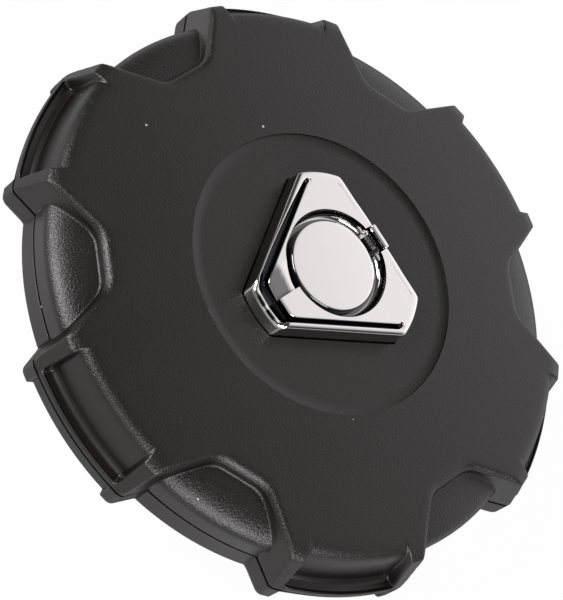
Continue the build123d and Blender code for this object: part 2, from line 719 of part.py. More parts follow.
# Spigot: a cast drum with a top flange, screw lugs, a bolt window and a bolt rail
with BuildPart() as spigot_body:
    with BuildSketch(Plane.XY.offset(floor_bottom_z)):
        Circle(spigot_radius)
    extrude(amount=ceiling_z - floor_bottom_z)
    with BuildSketch(Plane.XY.offset(flange_bottom_z)):
        Circle(spigot_flange_radius)
    extrude(amount=spigot_flange_thickness)
    with BuildSketch(Plane.XY.offset(floor_top_z)):
        Circle(spigot_radius - spigot_wall)
    extrude(amount=face_z, mode=Mode.SUBTRACT)
    with BuildSketch(Plane.XY.offset(lug_bottom_z)):
        with PolarLocations(spigot_screw_circle, 3, start_angle=screw_start_angle):
            Circle(boss_radius)
            with Locations((boss_radius, 0)):
                Rectangle(2 * boss_radius, 2 * boss_radius)
        Circle(spigot_radius - spigot_wall / 2, mode=Mode.INTERSECT)
    extrude(amount=spigot_lug_thickness)
    with BuildSketch(Plane.XY.offset(lug_bottom_z)):
        with PolarLocations(spigot_screw_circle, 3, start_angle=screw_start_angle):
            Circle(spigot_screw_radius + running_gap)
    extrude(amount=spigot_lug_thickness, mode=Mode.SUBTRACT)
    # Rail under the bolt, then the window that lets it out
    with BuildSketch(Plane.XY.offset(floor_top_z)):
        with Locations((0, rail_rear_y)):
            Rectangle(bolt_width - 2 * rail_margin, rail_rear_y + spigot_radius - spigot_wall / 2,
                      align=(Align.CENTER, Align.MAX))
    extrude(amount=bolt_bottom_z - seat_gap - floor_top_z)
    with BuildSketch(Plane.XZ.offset(spigot_radius - 2 * spigot_wall)):
        with Locations((0, (bolt_bottom_z + bolt_top_z) / 2)):
            Rectangle(2 * guide_inner, bolt_thickness + 2 * running_gap)
    extrude(amount=3 * spigot_wall, mode=Mode.SUBTRACT)
    # Holes through the floor: vent, rivets and the guide's screws
    with BuildSketch(Plane.XY.offset(floor_bottom_z)):
        with Locations((0, vent_y)):
            Circle(vent_hole_radius)
        with Locations(*rivet_points):
            Circle(rivet_radius + thread_gap)
    extrude(amount=spigot_floor, mode=Mode.SUBTRACT)
    with BuildSketch(Plane.XY.offset(floor_top_z)):
        with Locations((0, guide_middle_y)):
            with GridLocations(2 * guide_screw_x, 1, 2, 1):
                Circle(guide_screw_radius + thread_gap)
    extrude(amount=-guide_screw_depth - seat_gap, mode=Mode.SUBTRACT)
    foot_edges = spigot_body.edges().filter_by(GeomType.CIRCLE).group_by(Axis.Z)[0]
    chamfer(foot_edges.sort_by(SortBy.RADIUS)[-1], spigot_foot_chamfer)

with BuildPart() as spigot_screws:
    with PolarLocations(spigot_screw_circle, 3, start_angle=screw_start_angle):
        add(screw(spigot_screw_radius, spigot_head_radius, spigot_head_height,
                  lug_bottom_z - spigot_head_height, lug_top_z + boss_screw_engagement))

# Bayonet plate: a pressed disc with two ears that have a lead-in on top
with BuildPart() as bayonet_plate:
    with BuildSketch():
        Circle(ear_radius)
        Rectangle(2 * ear_radius, ear_width, mode=Mode.INTERSECT)
        Circle(bayonet_disc_radius)
        with Locations((0, vent_y)):
            Circle(2 * vent_hole_radius, mode=Mode.SUBTRACT)
    extrude(amount=bayonet_thickness)
    chamfer(bayonet_plate.edges().filter_by(Axis.X).group_by(Axis.Z)[-1], ear_ramp)
    with Locations(*rivet_points):
        Cone(rivet_head_radius, rivet_radius + thread_gap, rivet_sink, align=on_base, mode=Mode.SUBTRACT)
        Cylinder(rivet_radius + thread_gap, bayonet_thickness, align=on_base, mode=Mode.SUBTRACT)

# Rivets: countersunk below the plate, domed inside the spigot
with BuildPart() as bayonet_rivets:
    with Locations(*rivet_points):
        Cone(rivet_head_radius - thread_gap, rivet_radius, rivet_sink, align=on_base)
        Cylinder(rivet_radius, floor_top_z, align=on_base)
        with Locations((0, 0, floor_top_z)):
            Cone(rivet_head_radius, rivet_head_radius / 2, rivet_head_height, align=on_base)

# Disc spring between the spigot's flange and the pressure plate
with BuildPart() as main_spring:
    with BuildSketch(Plane.XZ):
        with BuildLine():
            Polyline((spring_inner, flange_bottom_z), (spring_inner + disc_spring_sheet, flange_bottom_z),
                     (spring_outer, press_top_z + disc_spring_sheet), (spring_outer, press_top_z),
                     (spring_outer - disc_spring_sheet, press_top_z),
                     (spring_inner, flange_bottom_z - disc_spring_sheet), close=True)
        make_face()
    revolve(axis=Axis.Z)

# Pressure plate: a pressed steel ring with a rim around the seal
with BuildPart() as pressure_plate:
    with BuildSketch(Plane.XZ):
        with BuildLine():
            Polyline((press_bore_radius, seal_top_z), (press_rim_bore, seal_top_z),
                     (press_rim_bore, seal_top_z - press_rim_drop),
                     (press_plate_radius, seal_top_z - press_rim_drop),
                     (press_plate_radius, press_top_z), (press_bore_radius, press_top_z), close=True)
        make_face()
    revolve(axis=Axis.Z)

# Seal: a rubber ring with two sealing beads underneath
with BuildPart() as seal_ring:
    with BuildSketch(Plane.XZ):
        with BuildLine():
            Polyline((seal_bore, seal_top_z), (seal_bore, bead_z), (seal_bore + bead_edge, seal_bottom_z),
                     (bead_inner, seal_bottom_z), (bead_inner + bead_edge, bead_z),
                     (bead_outer - bead_edge, bead_z), (bead_outer, seal_bottom_z),
                     (seal_outer_radius - bead_edge, seal_bottom_z), (seal_outer_radius, bead_z),
                     (seal_outer_radius, seal_top_z), close=True)
        make_face()
    revolve(axis=Axis.Z)

# Snap ring that keeps the seal and its plate on the spigot
with BuildPart() as seal_retainer:
    with BuildSketch(Plane.XY.offset(seal_bottom_z - seat_gap - retainer_thickness)):
        Circle(spigot_radius + retainer_width)
        Circle(spigot_radius + thread_gap, mode=Mode.SUBTRACT)
        with Locations((0, spigot_radius)):
            Rectangle(retainer_opening, 4 * retainer_width, mode=Mode.SUBTRACT)
    extrude(amount=retainer_thickness)

# Vent cage: a drawn cup over the poppet, with a flange on the spigot's floor
with BuildPart() as vent_cage:
    with BuildSketch(Plane.XZ):
        with BuildLine():
            Polyline((cage_bore_radius, floor_top_z), (cage_flange_radius, floor_top_z),
                     (cage_flange_radius, floor_top_z + cage_sheet), (cage_radius, floor_top_z + cage_sheet),
                     (cage_radius, cage_top_z - cage_edge), (cage_radius - cage_edge, cage_top_z),
                     (stem_radius + running_gap, cage_top_z),
                     (stem_radius + running_gap, cage_top_z - cage_sheet),
                     (cage_bore_radius, cage_top_z - cage_sheet), close=True)
        make_face()
    revolve(axis=Axis.Z)
    with BuildSketch(Plane.XY.offset(floor_top_z + 2 * cage_sheet)):
        with PolarLocations(cage_radius, 4):
            Rectangle(cage_radius - cage_sheet, cage_window_width)
    extrude(amount=cage_window_height, mode=Mode.SUBTRACT)

with BuildPart() as vent_poppet:
    with BuildSketch(Plane.XZ):
        with BuildLine():
            Polyline((0, poppet_bottom_z), (poppet_radius, poppet_bottom_z), (poppet_radius, poppet_top_z),
                     (stem_radius, poppet_top_z), (stem_radius, cage_top_z - stem_end_inset),
                     (0, cage_top_z - stem_end_inset), close=True)
        make_face()
    revolve(axis=Axis.Z)

with BuildPart() as vent_spring:
    add(coil_spring(vent_coil_wire, vent_coil_radius, vent_coil_turns, vent_coil_room / vent_coil_turns)
        .translate((0, 0, poppet_top_z + vent_coil_wire + seat_gap)))

# The vent's three pieces are drawn on the cap's axis and moved to their place in the spigot
vent_shift = (0, vent_y, 0)
pieces = {
    "upper_shell": upper_shell.part,
    "lower_ring": lower_ring.part,
    "lock_bezel": lock_bezel.part,
    "flap_pin": flap_pin.part,
    "flap_spring": flap_spring.part,
    "dust_flap": dust_flap.part,
    "lock_housing": lock_housing.part,
    "housing_screws": housing_screws.part,
    "key_plug": key_plug.part,
    "plug_wafers": plug_wafers.part,
    "plug_clip": plug_clip.part,
    "lock_cam": lock_cam.part,
    "lock_bolt": lock_bolt.part,
    "bolt_guide": bolt_guide.part,
    "guide_screws": guide_screws.part,
    "spigot_body": spigot_body.part,
    "spigot_screws": spigot_screws.part,
    "bayonet_plate": bayonet_plate.part,
    "bayonet_rivets": bayonet_rivets.part,
    "main_spring": main_spring.part,
    "pressure_plate": pressure_plate.part,
    "seal_ring": seal_ring.part,
    "seal_retainer": seal_retainer.part,
    "vent_cage": vent_cage.part.translate(vent_shift),
    "vent_poppet": vent_poppet.part.translate(vent_shift),
    "vent_spring": vent_spring.part.translate(vent_shift),
}

os.makedirs("parts", exist_ok=True)
for name, piece in pieces.items():
    piece.label = name
    export_step(piece, f"parts/{name}.step")
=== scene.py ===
"""Locking fuel filler cap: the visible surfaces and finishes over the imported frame.

Every new piece is a closed surface worked out on a numpy grid. Sizes are in millimetres in the
classes below and become metres only when a mesh is made. Columns run round the cap's axis and rows
run along its section, unless a method says otherwise.
"""

from __future__ import annotations

import logging
import math
from dataclasses import dataclass, field
from enum import Enum
from typing import Any, Sequence

import bmesh
import bpy
import numpy as np
from mathutils import Matrix, Vector

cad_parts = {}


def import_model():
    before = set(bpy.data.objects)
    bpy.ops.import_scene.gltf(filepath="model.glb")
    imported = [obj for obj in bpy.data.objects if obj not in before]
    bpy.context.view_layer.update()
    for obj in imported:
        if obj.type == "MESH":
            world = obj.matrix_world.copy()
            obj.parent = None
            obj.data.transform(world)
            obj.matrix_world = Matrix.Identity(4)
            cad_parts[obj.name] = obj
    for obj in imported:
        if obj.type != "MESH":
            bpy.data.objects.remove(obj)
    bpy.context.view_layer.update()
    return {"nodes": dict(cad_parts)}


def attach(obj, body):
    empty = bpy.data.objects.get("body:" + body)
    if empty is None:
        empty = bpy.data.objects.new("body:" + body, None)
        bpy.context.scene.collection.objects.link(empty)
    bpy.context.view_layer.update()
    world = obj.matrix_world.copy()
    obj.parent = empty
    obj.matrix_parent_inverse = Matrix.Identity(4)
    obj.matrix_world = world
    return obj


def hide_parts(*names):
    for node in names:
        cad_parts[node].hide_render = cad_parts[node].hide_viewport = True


MILLIMETRE = 0.001
FULL_TURN = 2.0 * math.pi
LOG = logging.getLogger("filler_cap")

# Plan angles in degrees that the bezel's three sides and its low front corner face.
LEFT_SIDE, RIGHT_SIDE, HINGE_SIDE, FRONT = 210.0, 330.0, 90.0, 270.0

# Least cosine that a side's distance is divided by, where a ray runs along that side.
LEAST_COSINE = 0.05

# Inset in millimetres that shrinks the end rows of any bar to poles.
POLE_INSET = 9.0

# Distance in metres under which points are doubles.
MERGE_DISTANCE = 1e-7


class Body(Enum):
    """Moving bodies of the frame that new pieces ride on."""

    CAP = "cap"
    FLAP = "flap"


# ---- Grid helpers


def ease(value: np.ndarray | float, low: float, high: float) -> np.ndarray:
    """Smooth step: 0 below low, 1 above high, and t * t * (3 - 2 t) between them.

    Args:
        value: Where the step is read.
        low: Start of the step.
        high: End of the step.

    Returns:
        The eased share, from 0 to 1.
    """
    share = np.clip((np.asarray(value, dtype=float) - low) / (high - low), 0.0, 1.0)
    return share * share * (3.0 - 2.0 * share)


def soft_min(first: np.ndarray, second: np.ndarray, reach: float) -> np.ndarray:
    """Smaller of two values, rounded off where they differ by less than reach.

    Args:
        first: One value.
        second: The other value.
        reach: Difference under which the corner is rounded by a parabola.

    Returns:
        min(first, second) less h * h * reach / 4, where h is 1 at the corner and 0 at reach.
    """
    overlap = np.clip(1.0 - np.abs(first - second) / reach, 0.0, 1.0)
    return np.minimum(first, second) - overlap * overlap * reach / 4.0


def off_cosine(angle: np.ndarray, facing: float) -> np.ndarray:
    """Cosine of the angle from a facing in degrees, kept large enough to divide by."""
    return np.maximum(np.cos(angle - math.radians(facing)), LEAST_COSINE)


def polar(radius: np.ndarray, angle: np.ndarray, height: np.ndarray) -> np.ndarray:
    """Points at a radius, plan angle and height, stacked on a last axis of three."""
    radius, angle, height = np.broadcast_arrays(radius, angle, height)
    return np.stack([radius * np.cos(angle), radius * np.sin(angle), height], axis=-1)


def read_along(path: np.ndarray, stations: np.ndarray) -> np.ndarray:
    """Points at given distances along many polylines at once.

    Args:
        path: Polylines, as columns by samples by coordinates.
        stations: Distances along each polyline, as columns by rows.

    Returns:
        Points, as columns by rows by coordinates. All the polylines are laid end to end on one
        number line, so that one linear interpolation reads them all.
    """
    step = np.sqrt(np.sum(np.diff(path, axis=1) ** 2, axis=-1))
    length = np.concatenate([np.zeros((len(path), 1)), np.cumsum(step, axis=1)], axis=1)
    shift = np.arange(len(path))[:, None] * (length[:, -1].max() + 1.0)
    known = (length + shift).ravel()
    wanted = (np.clip(stations, 0.0, length[:, -1:]) + shift).ravel()
    parts = [np.interp(wanted, known, path[..., axis].ravel()).reshape(stations.shape)
             for axis in range(path.shape[-1])]
    return np.stack(parts, axis=-1)


def first_crossing(values: np.ndarray, target: float, spacing: float) -> np.ndarray:
    """Distance at which each row of falling values first goes below a target.

    Args:
        values: Evenly spaced samples, as columns by samples.
        target: Value that is crossed.
        spacing: Distance between two samples.

    Returns:
        One distance per column, found by linear interpolation between two samples.
    """
    after = np.clip(np.argmax(values < target, axis=1), 1, values.shape[1] - 1)
    rows = np.arange(len(values))
    high, low = values[rows, after - 1], values[rows, after]
    share = np.clip((high - target) / np.maximum(high - low, 1e-9), 0.0, 1.0)
    return (after - 1 + share) * spacing


def blurred(path: np.ndarray, half: int) -> np.ndarray:
    """Rounds the corners of evenly sampled polylines with two moving averages.

    Args:
        path: Polylines, as columns by samples by coordinates.
        half: Samples on each side of the middle that an average takes in.

    Returns:
        Rounded polylines of the same shape, each end point turned through itself as a margin.
    """
    result = path
    for _ in range(2):
        head = 2.0 * result[:, :1] - result[:, half:0:-1]
        tail = 2.0 * result[:, -1:] - result[:, -2:-half - 2:-1]
        padded = np.concatenate([head, result, tail], axis=1)
        total = np.cumsum(np.concatenate([np.zeros_like(padded[:, :1]), padded], axis=1), axis=1)
        width = 2 * half + 1
        result = (total[:, width:] - total[:, :-width]) / width
    return result


def signed_volume(points: np.ndarray, faces: np.ndarray) -> float:
    """Six times the volume inside a closed mesh of four-sided faces, positive if they face out."""
    a, b, c, d = (points[faces[:, corner]] for corner in range(4))
    halves = np.cross(a, b) * c, np.cross(a, c) * d
    return float(sum(half.sum() for half in halves))


def level_rows(rows: Sequence[tuple[Any, Any]], columns: int) -> np.ndarray:
    """Rows of a section that have one radius and one height each, or one per column.

    Args:
        rows: Radius and height of each row.
        columns: Number of columns.

    Returns:
        Points, as columns by rows by radius and height.
    """
    pairs = [np.stack([np.broadcast_to(value, columns) for value in row], axis=-1) for row in rows]
    return np.stack(pairs, axis=1)


def turned_profile(profile: Sequence[tuple[float, float]], columns: int) -> np.ndarray:
    """A profile of radii and heights turned round the axis, as rows by columns by three."""
    pairs = np.asarray(profile, dtype=float)
    angle = np.linspace(0.0, FULL_TURN, columns, endpoint=False)
    return polar(pairs[:, :1], angle[None, :], pairs[:, 1:])


def upright_bar(half_x: float, half_y: float, low: float, high: float, edge: float) -> np.ndarray:
    """An upright bar: a rounded rectangle lofted upwards, with a rounded top edge and closed ends.

    Args:
        half_x: Half its length.
        half_y: Half its width.
        low: Height of its foot.
        high: Height of its top.
        edge: Rounding of the top edge.

    Returns:
        Points as rows by columns by three, the end rows shrunk to poles. A ring's points are
        the signed powers of cosine and sine, which is a rectangle with rounded corners.
    """
    columns, power, edge_rows = 64, 0.24, 6
    turn = np.linspace(0.0, FULL_TURN, columns, endpoint=False) + FULL_TURN / (2 * columns)
    side = np.sign(np.cos(turn)) * np.abs(np.cos(turn)) ** power
    deep = np.sign(np.sin(turn)) * np.abs(np.sin(turn)) ** power
    lean = np.radians(np.linspace(0.0, 90.0, edge_rows))
    inset = np.concatenate([[POLE_INSET, 0.0], edge * (1.0 - np.cos(lean)), [POLE_INSET]])
    height = np.concatenate([[low, low], high - edge * (1.0 - np.sin(lean)), [high]])
    across = np.maximum(half_x - inset, 0.0)[:, None] * side
    along = np.maximum(half_y - inset, 0.0)[:, None] * deep
    return np.stack(np.broadcast_arrays(across, along, height[:, None]), axis=-1)


def swung(points: np.ndarray, degrees: float) -> np.ndarray:
    """Points turned about the cap's axis by an angle in degrees."""
    cosine, sine = math.cos(math.radians(degrees)), math.sin(math.radians(degrees))
    return points @ np.array([[cosine, sine, 0.0], [-sine, cosine, 0.0], [0.0, 0.0, 1.0]])


@dataclass
class Piece:
    """A closed grid surface on its way to becoming an object.

    Attributes:
        name: Object name.
        grid: Points as rows by columns by three, in millimetres, or a stack of such grids.
        closed_rows: Whether the last row joins the first.
        body: Body that the piece rides on.
        sharp: Angle in degrees over which an edge stays crisp.
        masks: Values per point, stored under their names for the finishes.
    """

    name: str
    grid: np.ndarray
    closed_rows: bool = True
    body: Body = Body.CAP
    sharp: float = 40.0
    masks: dict[str, np.ndarray] = field(default_factory=dict)

    def make(self, finish: bpy.types.Material, slot: str, *nodes: str) -> bpy.types.Object:
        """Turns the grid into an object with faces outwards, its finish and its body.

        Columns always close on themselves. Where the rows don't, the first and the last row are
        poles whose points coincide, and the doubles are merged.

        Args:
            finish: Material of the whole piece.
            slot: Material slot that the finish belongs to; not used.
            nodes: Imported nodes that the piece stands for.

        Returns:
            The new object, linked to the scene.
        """
        rows, columns = self.grid.shape[-3:-1]
        index = np.arange(rows * columns).reshape(rows, columns)
        if self.closed_rows:
            index = np.concatenate([index, index[:1]])
        index = np.concatenate([index, index[:, :1]], axis=1)
        faces = np.stack([index[:-1, :-1], index[1:, :-1], index[1:, 1:], index[:-1, 1:]], axis=-1)
        faces = faces.reshape(-1, 4)
        points = self.grid.reshape(-1, 3) * MILLIMETRE
        first = np.arange(len(points) // (rows * columns)) * rows * columns
        faces = (faces[None, :, :] + first[:, None, None]).reshape(-1, 4)
        if signed_volume(points, faces) < 0.0:
            faces = faces[:, ::-1]
        mesh = bpy.data.meshes.new(self.name)
        mesh.vertices.add(len(points))
        mesh.vertices.foreach_set("co", points.astype(np.float32).ravel())
        mesh.loops.add(faces.size)
        mesh.loops.foreach_set("vertex_index", faces.astype(np.int32).ravel())
        mesh.polygons.add(len(faces))
        mesh.polygons.foreach_set("loop_start", np.arange(0, faces.size, 4, dtype=np.int32))
        mesh.update(calc_edges=True)
        for mask, values in self.masks.items():
            layer = mesh.attributes.new(mask, "FLOAT", "POINT")
            spread = np.broadcast_to(values, self.grid.shape[:-1])
            layer.data.foreach_set("value", spread.astype(np.float32).ravel())
        if not self.closed_rows:
            merge_doubles(mesh)
        mesh.polygons.foreach_set("use_smooth", np.ones(len(mesh.polygons), dtype=bool))
        mesh.set_sharp_from_angle(angle=math.radians(self.sharp))
        mesh.validate()
        piece = bpy.data.objects.new(self.name, mesh)
        bpy.context.scene.collection.objects.link(piece)
        mesh.materials.append(finish)
        if nodes:
            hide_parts(*nodes)
        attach(piece, self.body.value)
        LOG.info("piece %s: %d faces", self.name, len(mesh.polygons))
        return piece


def merge_doubles(mesh: bpy.types.Mesh) -> None:
    """Merges coincident points of a mesh, so that its poles are closed.

    Args:
        mesh: The mesh, which is changed.
    """
    work = bmesh.new()
    work.from_mesh(mesh)
    bmesh.ops.remove_doubles(work, verts=work.verts, dist=MERGE_DISTANCE)
    work.to_mesh(mesh)
    work.free()


# ---- Outlines


@dataclass(frozen=True)
class LobedOutline:
    """Plan outline of the cap at the parting line: six finger scallops between six lobes.

    Attributes:
        floor: Distance from the axis to a scallop's flat floor.
        half_width: Half the width of that floor.
        wall_angle: Slant of a scallop's walls, in degrees.
        corner: Radius of the hollow corner between floor and wall.
        tip: Radius of the horn tips beside a lobe.
        outer: Radius of the lobes.
        lobes: Number of lobes, and of scallops.
    """

    floor: float = 48.85
    half_width: float = 5.26
    wall_angle: float = 42.7
    corner: float = 5.0
    tip: float = 1.6
    outer: float = 62.3
    lobes: int = 6

    def fold(self, angle: np.ndarray) -> np.ndarray:
        """Angle from the middle of the nearest scallop, from 0 to half a lobe's pitch."""
        pitch = FULL_TURN / self.lobes
        return np.abs((angle + pitch / 2.0) % pitch - pitch / 2.0)

    def radius(self, angle: np.ndarray, inset: np.ndarray | float = 0.0) -> np.ndarray:
        """Radius of the outline, moved inwards along its own normal.

        Args:
            angle: Plan angle in radians.
            inset: How far the outline is moved inwards.

        Returns:
            Distance from the axis: the flat floor, the hollow corner arc, the slanted wall, the
            rounded horn tip and the outer circle, each met by a ray at that angle.
        """
        turn = self.fold(angle)
        slant = math.radians(self.wall_angle)
        across, along = math.cos(slant), math.sin(slant)
        wall_offset = across * self.floor - along * self.half_width
        flat = (self.floor - inset) / np.cos(turn)
        wall = (wall_offset - inset) / np.cos(turn + slant)
        hollow_x = self.floor + self.corner
        hollow_y = (across * hollow_x - wall_offset - self.corner) / along
        hollow = self.corner + inset
        hollow_start = np.arctan2(hollow_y, hollow_x - hollow)
        hollow_end = np.arctan2(hollow_y + along * hollow, hollow_x - across * hollow)
        reach = hollow_x * np.cos(turn) + hollow_y * np.sin(turn)
        inside = np.maximum(reach ** 2 - hollow_x ** 2 - hollow_y ** 2 + hollow ** 2, 0.0)
        arc = reach - np.sqrt(inside)
        tip_out = wall_offset - self.tip
        tip_radius = self.outer - self.tip
        tip_side = math.sqrt(tip_radius ** 2 - tip_out ** 2)
        tip_x = across * tip_out + along * tip_side
        tip_y = -along * tip_out + across * tip_side
        knob = self.tip - inset
        tip_start = np.arctan2(tip_y - along * knob, tip_x + across * knob)
        tip_end = math.atan2(tip_y, tip_x)
        reach = tip_x * np.cos(turn) + tip_y * np.sin(turn)
        inside = np.maximum(reach ** 2 - tip_radius ** 2 + knob ** 2, 0.0)
        horn = reach + np.sqrt(inside)
        return np.select([turn < hollow_start, turn < hollow_end, turn < tip_start, turn < tip_end],
                         [flat, arc, wall, horn], self.outer - inset)

    def columns(self, plan: Sequence[tuple[float, float, int]]) -> np.ndarray:
        """Plan angles of the grid's columns, mirrored about each scallop and lobe.

        Args:
            plan: Start and end angle in degrees and the number of steps of each run, from the
                middle of a scallop to the middle of a lobe.

        Returns:
            Angles in radians all the way round.
        """
        runs = [np.linspace(start, end, steps, endpoint=False) for start, end, steps in plan]
        half = np.concatenate(runs + [np.array([plan[-1][1]])])
        sector = np.concatenate([half[:-1], 2.0 * half[-1] - half[:0:-1]])
        pitch = 360.0 / self.lobes
        turns = np.arange(self.lobes)[:, None] * pitch + sector[None, :]
        return np.radians(turns.ravel())


@dataclass(frozen=True)
class WedgeOutline:
    """Plan outline of the bezel: three sides, each corner cut by a circle about the axis.

    Attributes:
        side: Distance from the axis to the left and the right side.
        back: Distance to the hinge side.
        reach: Radius of the circle that cuts the corners.
        rounding: Reach of the rounded corners.
    """

    side: float
    back: float
    reach: float
    rounding: float = 0.38

    def radius(self, angle: np.ndarray, inset: np.ndarray | float = 0.0) -> np.ndarray:
        """Radius of the wedge, moved inwards.

        Args:
            angle: Plan angle in radians.
            inset: How far the sides and the corner circles are moved inwards.

        Returns:
            The smallest of the three sides and the circle, with its corners rounded.
        """
        outline = np.zeros_like(np.asarray(angle, dtype=float)) + self.reach - inset
        sides = ((LEFT_SIDE, self.side), (RIGHT_SIDE, self.side), (HINGE_SIDE, self.back))
        for facing, distance in sides:
            reach = (distance - inset) / off_cosine(angle, facing)
            outline = soft_min(outline, reach, self.rounding)
        return outline


# ---- Moulded upper shell


@dataclass
class UpperShell:
    """The moulded grip: a lobed dome with stepped finger scallops and side pockets.

    Attributes:
        outline: Plan outline at the parting line.
        face_z: Height of the face at the disc's edge.
        parting_z: Height of the shell's lowest edge.
        disc_radius: Radius of the recessed disc.
        disc_recess: Depth of the disc under the face.
        dome_radius: Radius of the face's shallow arc.
        dome_start: Radius from which the arc is drawn, inside the disc.
        lobe_radius: Radius at which a lobe's top edge has turned down.
        lobe_round: Radius of that edge.
        draft: Lean of the scallops' walls, in degrees.
        step_z: Height at which a scallop's wall meets its shoulder.
        shoulder_start: Radius at which the shoulder starts.
        shoulder_radius: Radius at which the shoulder stands upright.
        shoulder_end_z: Height at which it does.
        land_z: Height of the shoulder's last row but the parting line's.
        pocket_edge: Angle in degrees from a scallop's middle at which a pocket starts.
        pocket_top: Radius of the top of a pocket's panel.
        pocket_base: Radius of the foot of that panel.
        pocket_floor_z: Height of the pocket's floor.
        pocket_round: Blur of the pocket's top edge.
        gutter_round: Blur of the pocket's lower corners.
        pocket_blend: Heights between which one blur gives way to the other.
        gutter: Width of the gutter at the panel's foot.
        lip_inner: Radius of the inner side of the lip at the outer edge.
        lip_height: Height of the lip over the floor.
        overrun: How far a section is drawn past the parting line, to be cut there.
        spacing: Spacing of a section's samples.
        face_round: Blur of the face's edge.
        foot_round: Blur of the corners below it.
        round_split_z: Height at which one blur gives way to the other.
        edge_heading: Heading in degrees at which the face starts to turn down.
        wall_heading: Heading at which it has turned into a wall.
        panel_heading: Heading at which it has turned into a pocket's panel.
        last_row: Distance of the last outer row from the parting line.
        row_counts: Rows between one knot of a section and the next.
        seat: Plan outline of the bezel's seat.
        seat_z: Height of that seat.
        bore: Radius of the bore for the lock.
        ceiling_z: Height of the hollow underside's ceiling.
        ceiling_radius: Radius of the ceiling.
        ceiling_chamfer: Chamfer at the ceiling's edge.
        ring_seat_z: Height of the lower ring's seat.
        ring_bore: Radius of the inner edge of that seat.
        shell_bore: Radius of its outer edge.
        face_grain: Share of the grain on the open face.
        grain_low_z: Height under which there is no grain.
        pocket_grain_z: Height under which a pocket has none.
        scallop_half: Half the width of a scallop's grained shoulder, in degrees.
        rib_count: Number of ribs under the face.
        rib_middle: Radius of the ribs' middle.
        rib_length: Length of a rib.
        rib_width: Width of a rib.
        rib_top_z: Height of the ribs' tops.
        boss: Radius of a screw boss.
        boss_circle: Radius of the circle of bosses.
        boss_angles: Plan angles of the bosses, in degrees.
        boss_hole: Radius of a boss's hole.
        boss_depth: Depth of that hole.
        boss_bevel: Bevel of a boss's end.
        boss_z: Height of a boss's end.
    """

    outline: LobedOutline = field(default_factory=LobedOutline)
    face_z: float = 35.0
    parting_z: float = 22.8
    disc_radius: float = 29.5
    disc_recess: float = 0.5
    dome_radius: float = 551.0
    dome_start: float = 25.0
    lobe_radius: float = 60.0
    lobe_round: float = 2.8
    draft: float = 5.5
    step_z: float = 31.0
    shoulder_start: float = 48.5
    shoulder_radius: float = 57.0
    shoulder_end_z: float = 26.4
    land_z: float = 25.2
    pocket_edge: float = 18.5
    pocket_top: float = 57.5
    pocket_base: float = 59.2
    pocket_floor_z: float = 23.7
    pocket_round: float = 2.0
    gutter_round: float = 0.22
    pocket_blend: tuple[float, float] = (26.0, 30.0)
    gutter: float = 0.8
    lip_inner: float = 61.7
    lip_height: float = 0.45
    overrun: float = 4.0
    spacing: float = 0.08
    face_round: float = 1.5
    foot_round: float = 0.35
    round_split_z: float = 32.2
    edge_heading: float = -9.5
    wall_heading: float = -66.0
    panel_heading: float = -76.0
    last_row: float = 0.12
    row_counts: tuple[int, ...] = (14, 12, 8, 7, 12, 5, 4)
    seat: WedgeOutline = field(default_factory=lambda: WedgeOutline(14.1, 14.1, 20.1))
    seat_z: float = 33.0
    bore: float = 12.1
    ceiling_z: float = 30.7
    ring_seat_z: float = 25.6
    ring_bore: float = 50.4
    shell_bore: float = 53.6
    ceiling_radius: float = 45.45
    ceiling_chamfer: float = 2.2
    face_grain: float = 0.5
    grain_low_z: float = 26.0
    pocket_grain_z: float = 29.0
    scallop_half: float = 13.0
    rib_count: int = 12
    rib_middle: float = 48.2
    rib_length: float = 5.2
    rib_width: float = 1.6
    rib_top_z: float = 28.4
    boss: float = 4.5
    boss_circle: float = 25.5
    boss_angles: tuple[float, ...] = (30.0, 150.0, 270.0)
    boss_hole: float = 1.75
    boss_depth: float = 6.6
    boss_bevel: float = 0.2
    boss_z: float = 23.0

    def column_angles(self) -> np.ndarray:
        """Plan angles of the columns, closest at the walls, the horn tips and the pocket ends."""
        plan = ((0.0, 3.2, 3), (3.2, 8.6, 10), (8.6, 12.0, 7), (12.0, 14.6, 7),
                (14.6, 17.0, 12), (17.0, 18.0, 3), (18.0, 19.0, 8), (19.0, 20.0, 2),
                (20.0, 30.0, 7))
        return self.outline.columns(plan)

    def dome_height(self, radius: np.ndarray) -> np.ndarray:
        """Height of the domed face, a shallow circle's arc that starts at the disc's edge."""
        return self.face_z - (radius ** 2 - self.disc_radius ** 2) / (2.0 * self.dome_radius)

    def lobe_section(self) -> tuple[np.ndarray, np.ndarray]:
        """Section of the undivided dome: shallow arc, quarter round and tapered skirt.

        Returns:
            Radii and heights from inside the disc's edge to well below the parting line.
        """
        arc_samples, round_samples, skirt_samples, round_end = 360, 160, 320, 84.0
        start = self.lobe_radius - self.lobe_round
        dome = np.linspace(self.dome_start, start, arc_samples)
        dome_z = self.dome_height(dome)
        lean = math.asin(start / self.dome_radius)
        turn = np.linspace(lean, math.radians(round_end), round_samples)[1:]
        centre_z = dome_z[-1] - self.lobe_round * math.cos(lean)
        round_r = start - self.lobe_round * math.sin(lean) + self.lobe_round * np.sin(turn)
        round_z = centre_z + self.lobe_round * np.cos(turn)
        skirt_z = np.linspace(round_z[-1], self.parting_z - self.overrun, skirt_samples)[1:]
        slope = (self.outline.outer - round_r[-1]) / (round_z[-1] - self.parting_z)
        skirt_r = round_r[-1] + (round_z[-1] - skirt_z) * slope
        radius = np.concatenate([dome, round_r, skirt_r])
        return radius, np.concatenate([dome_z, round_z, skirt_z])

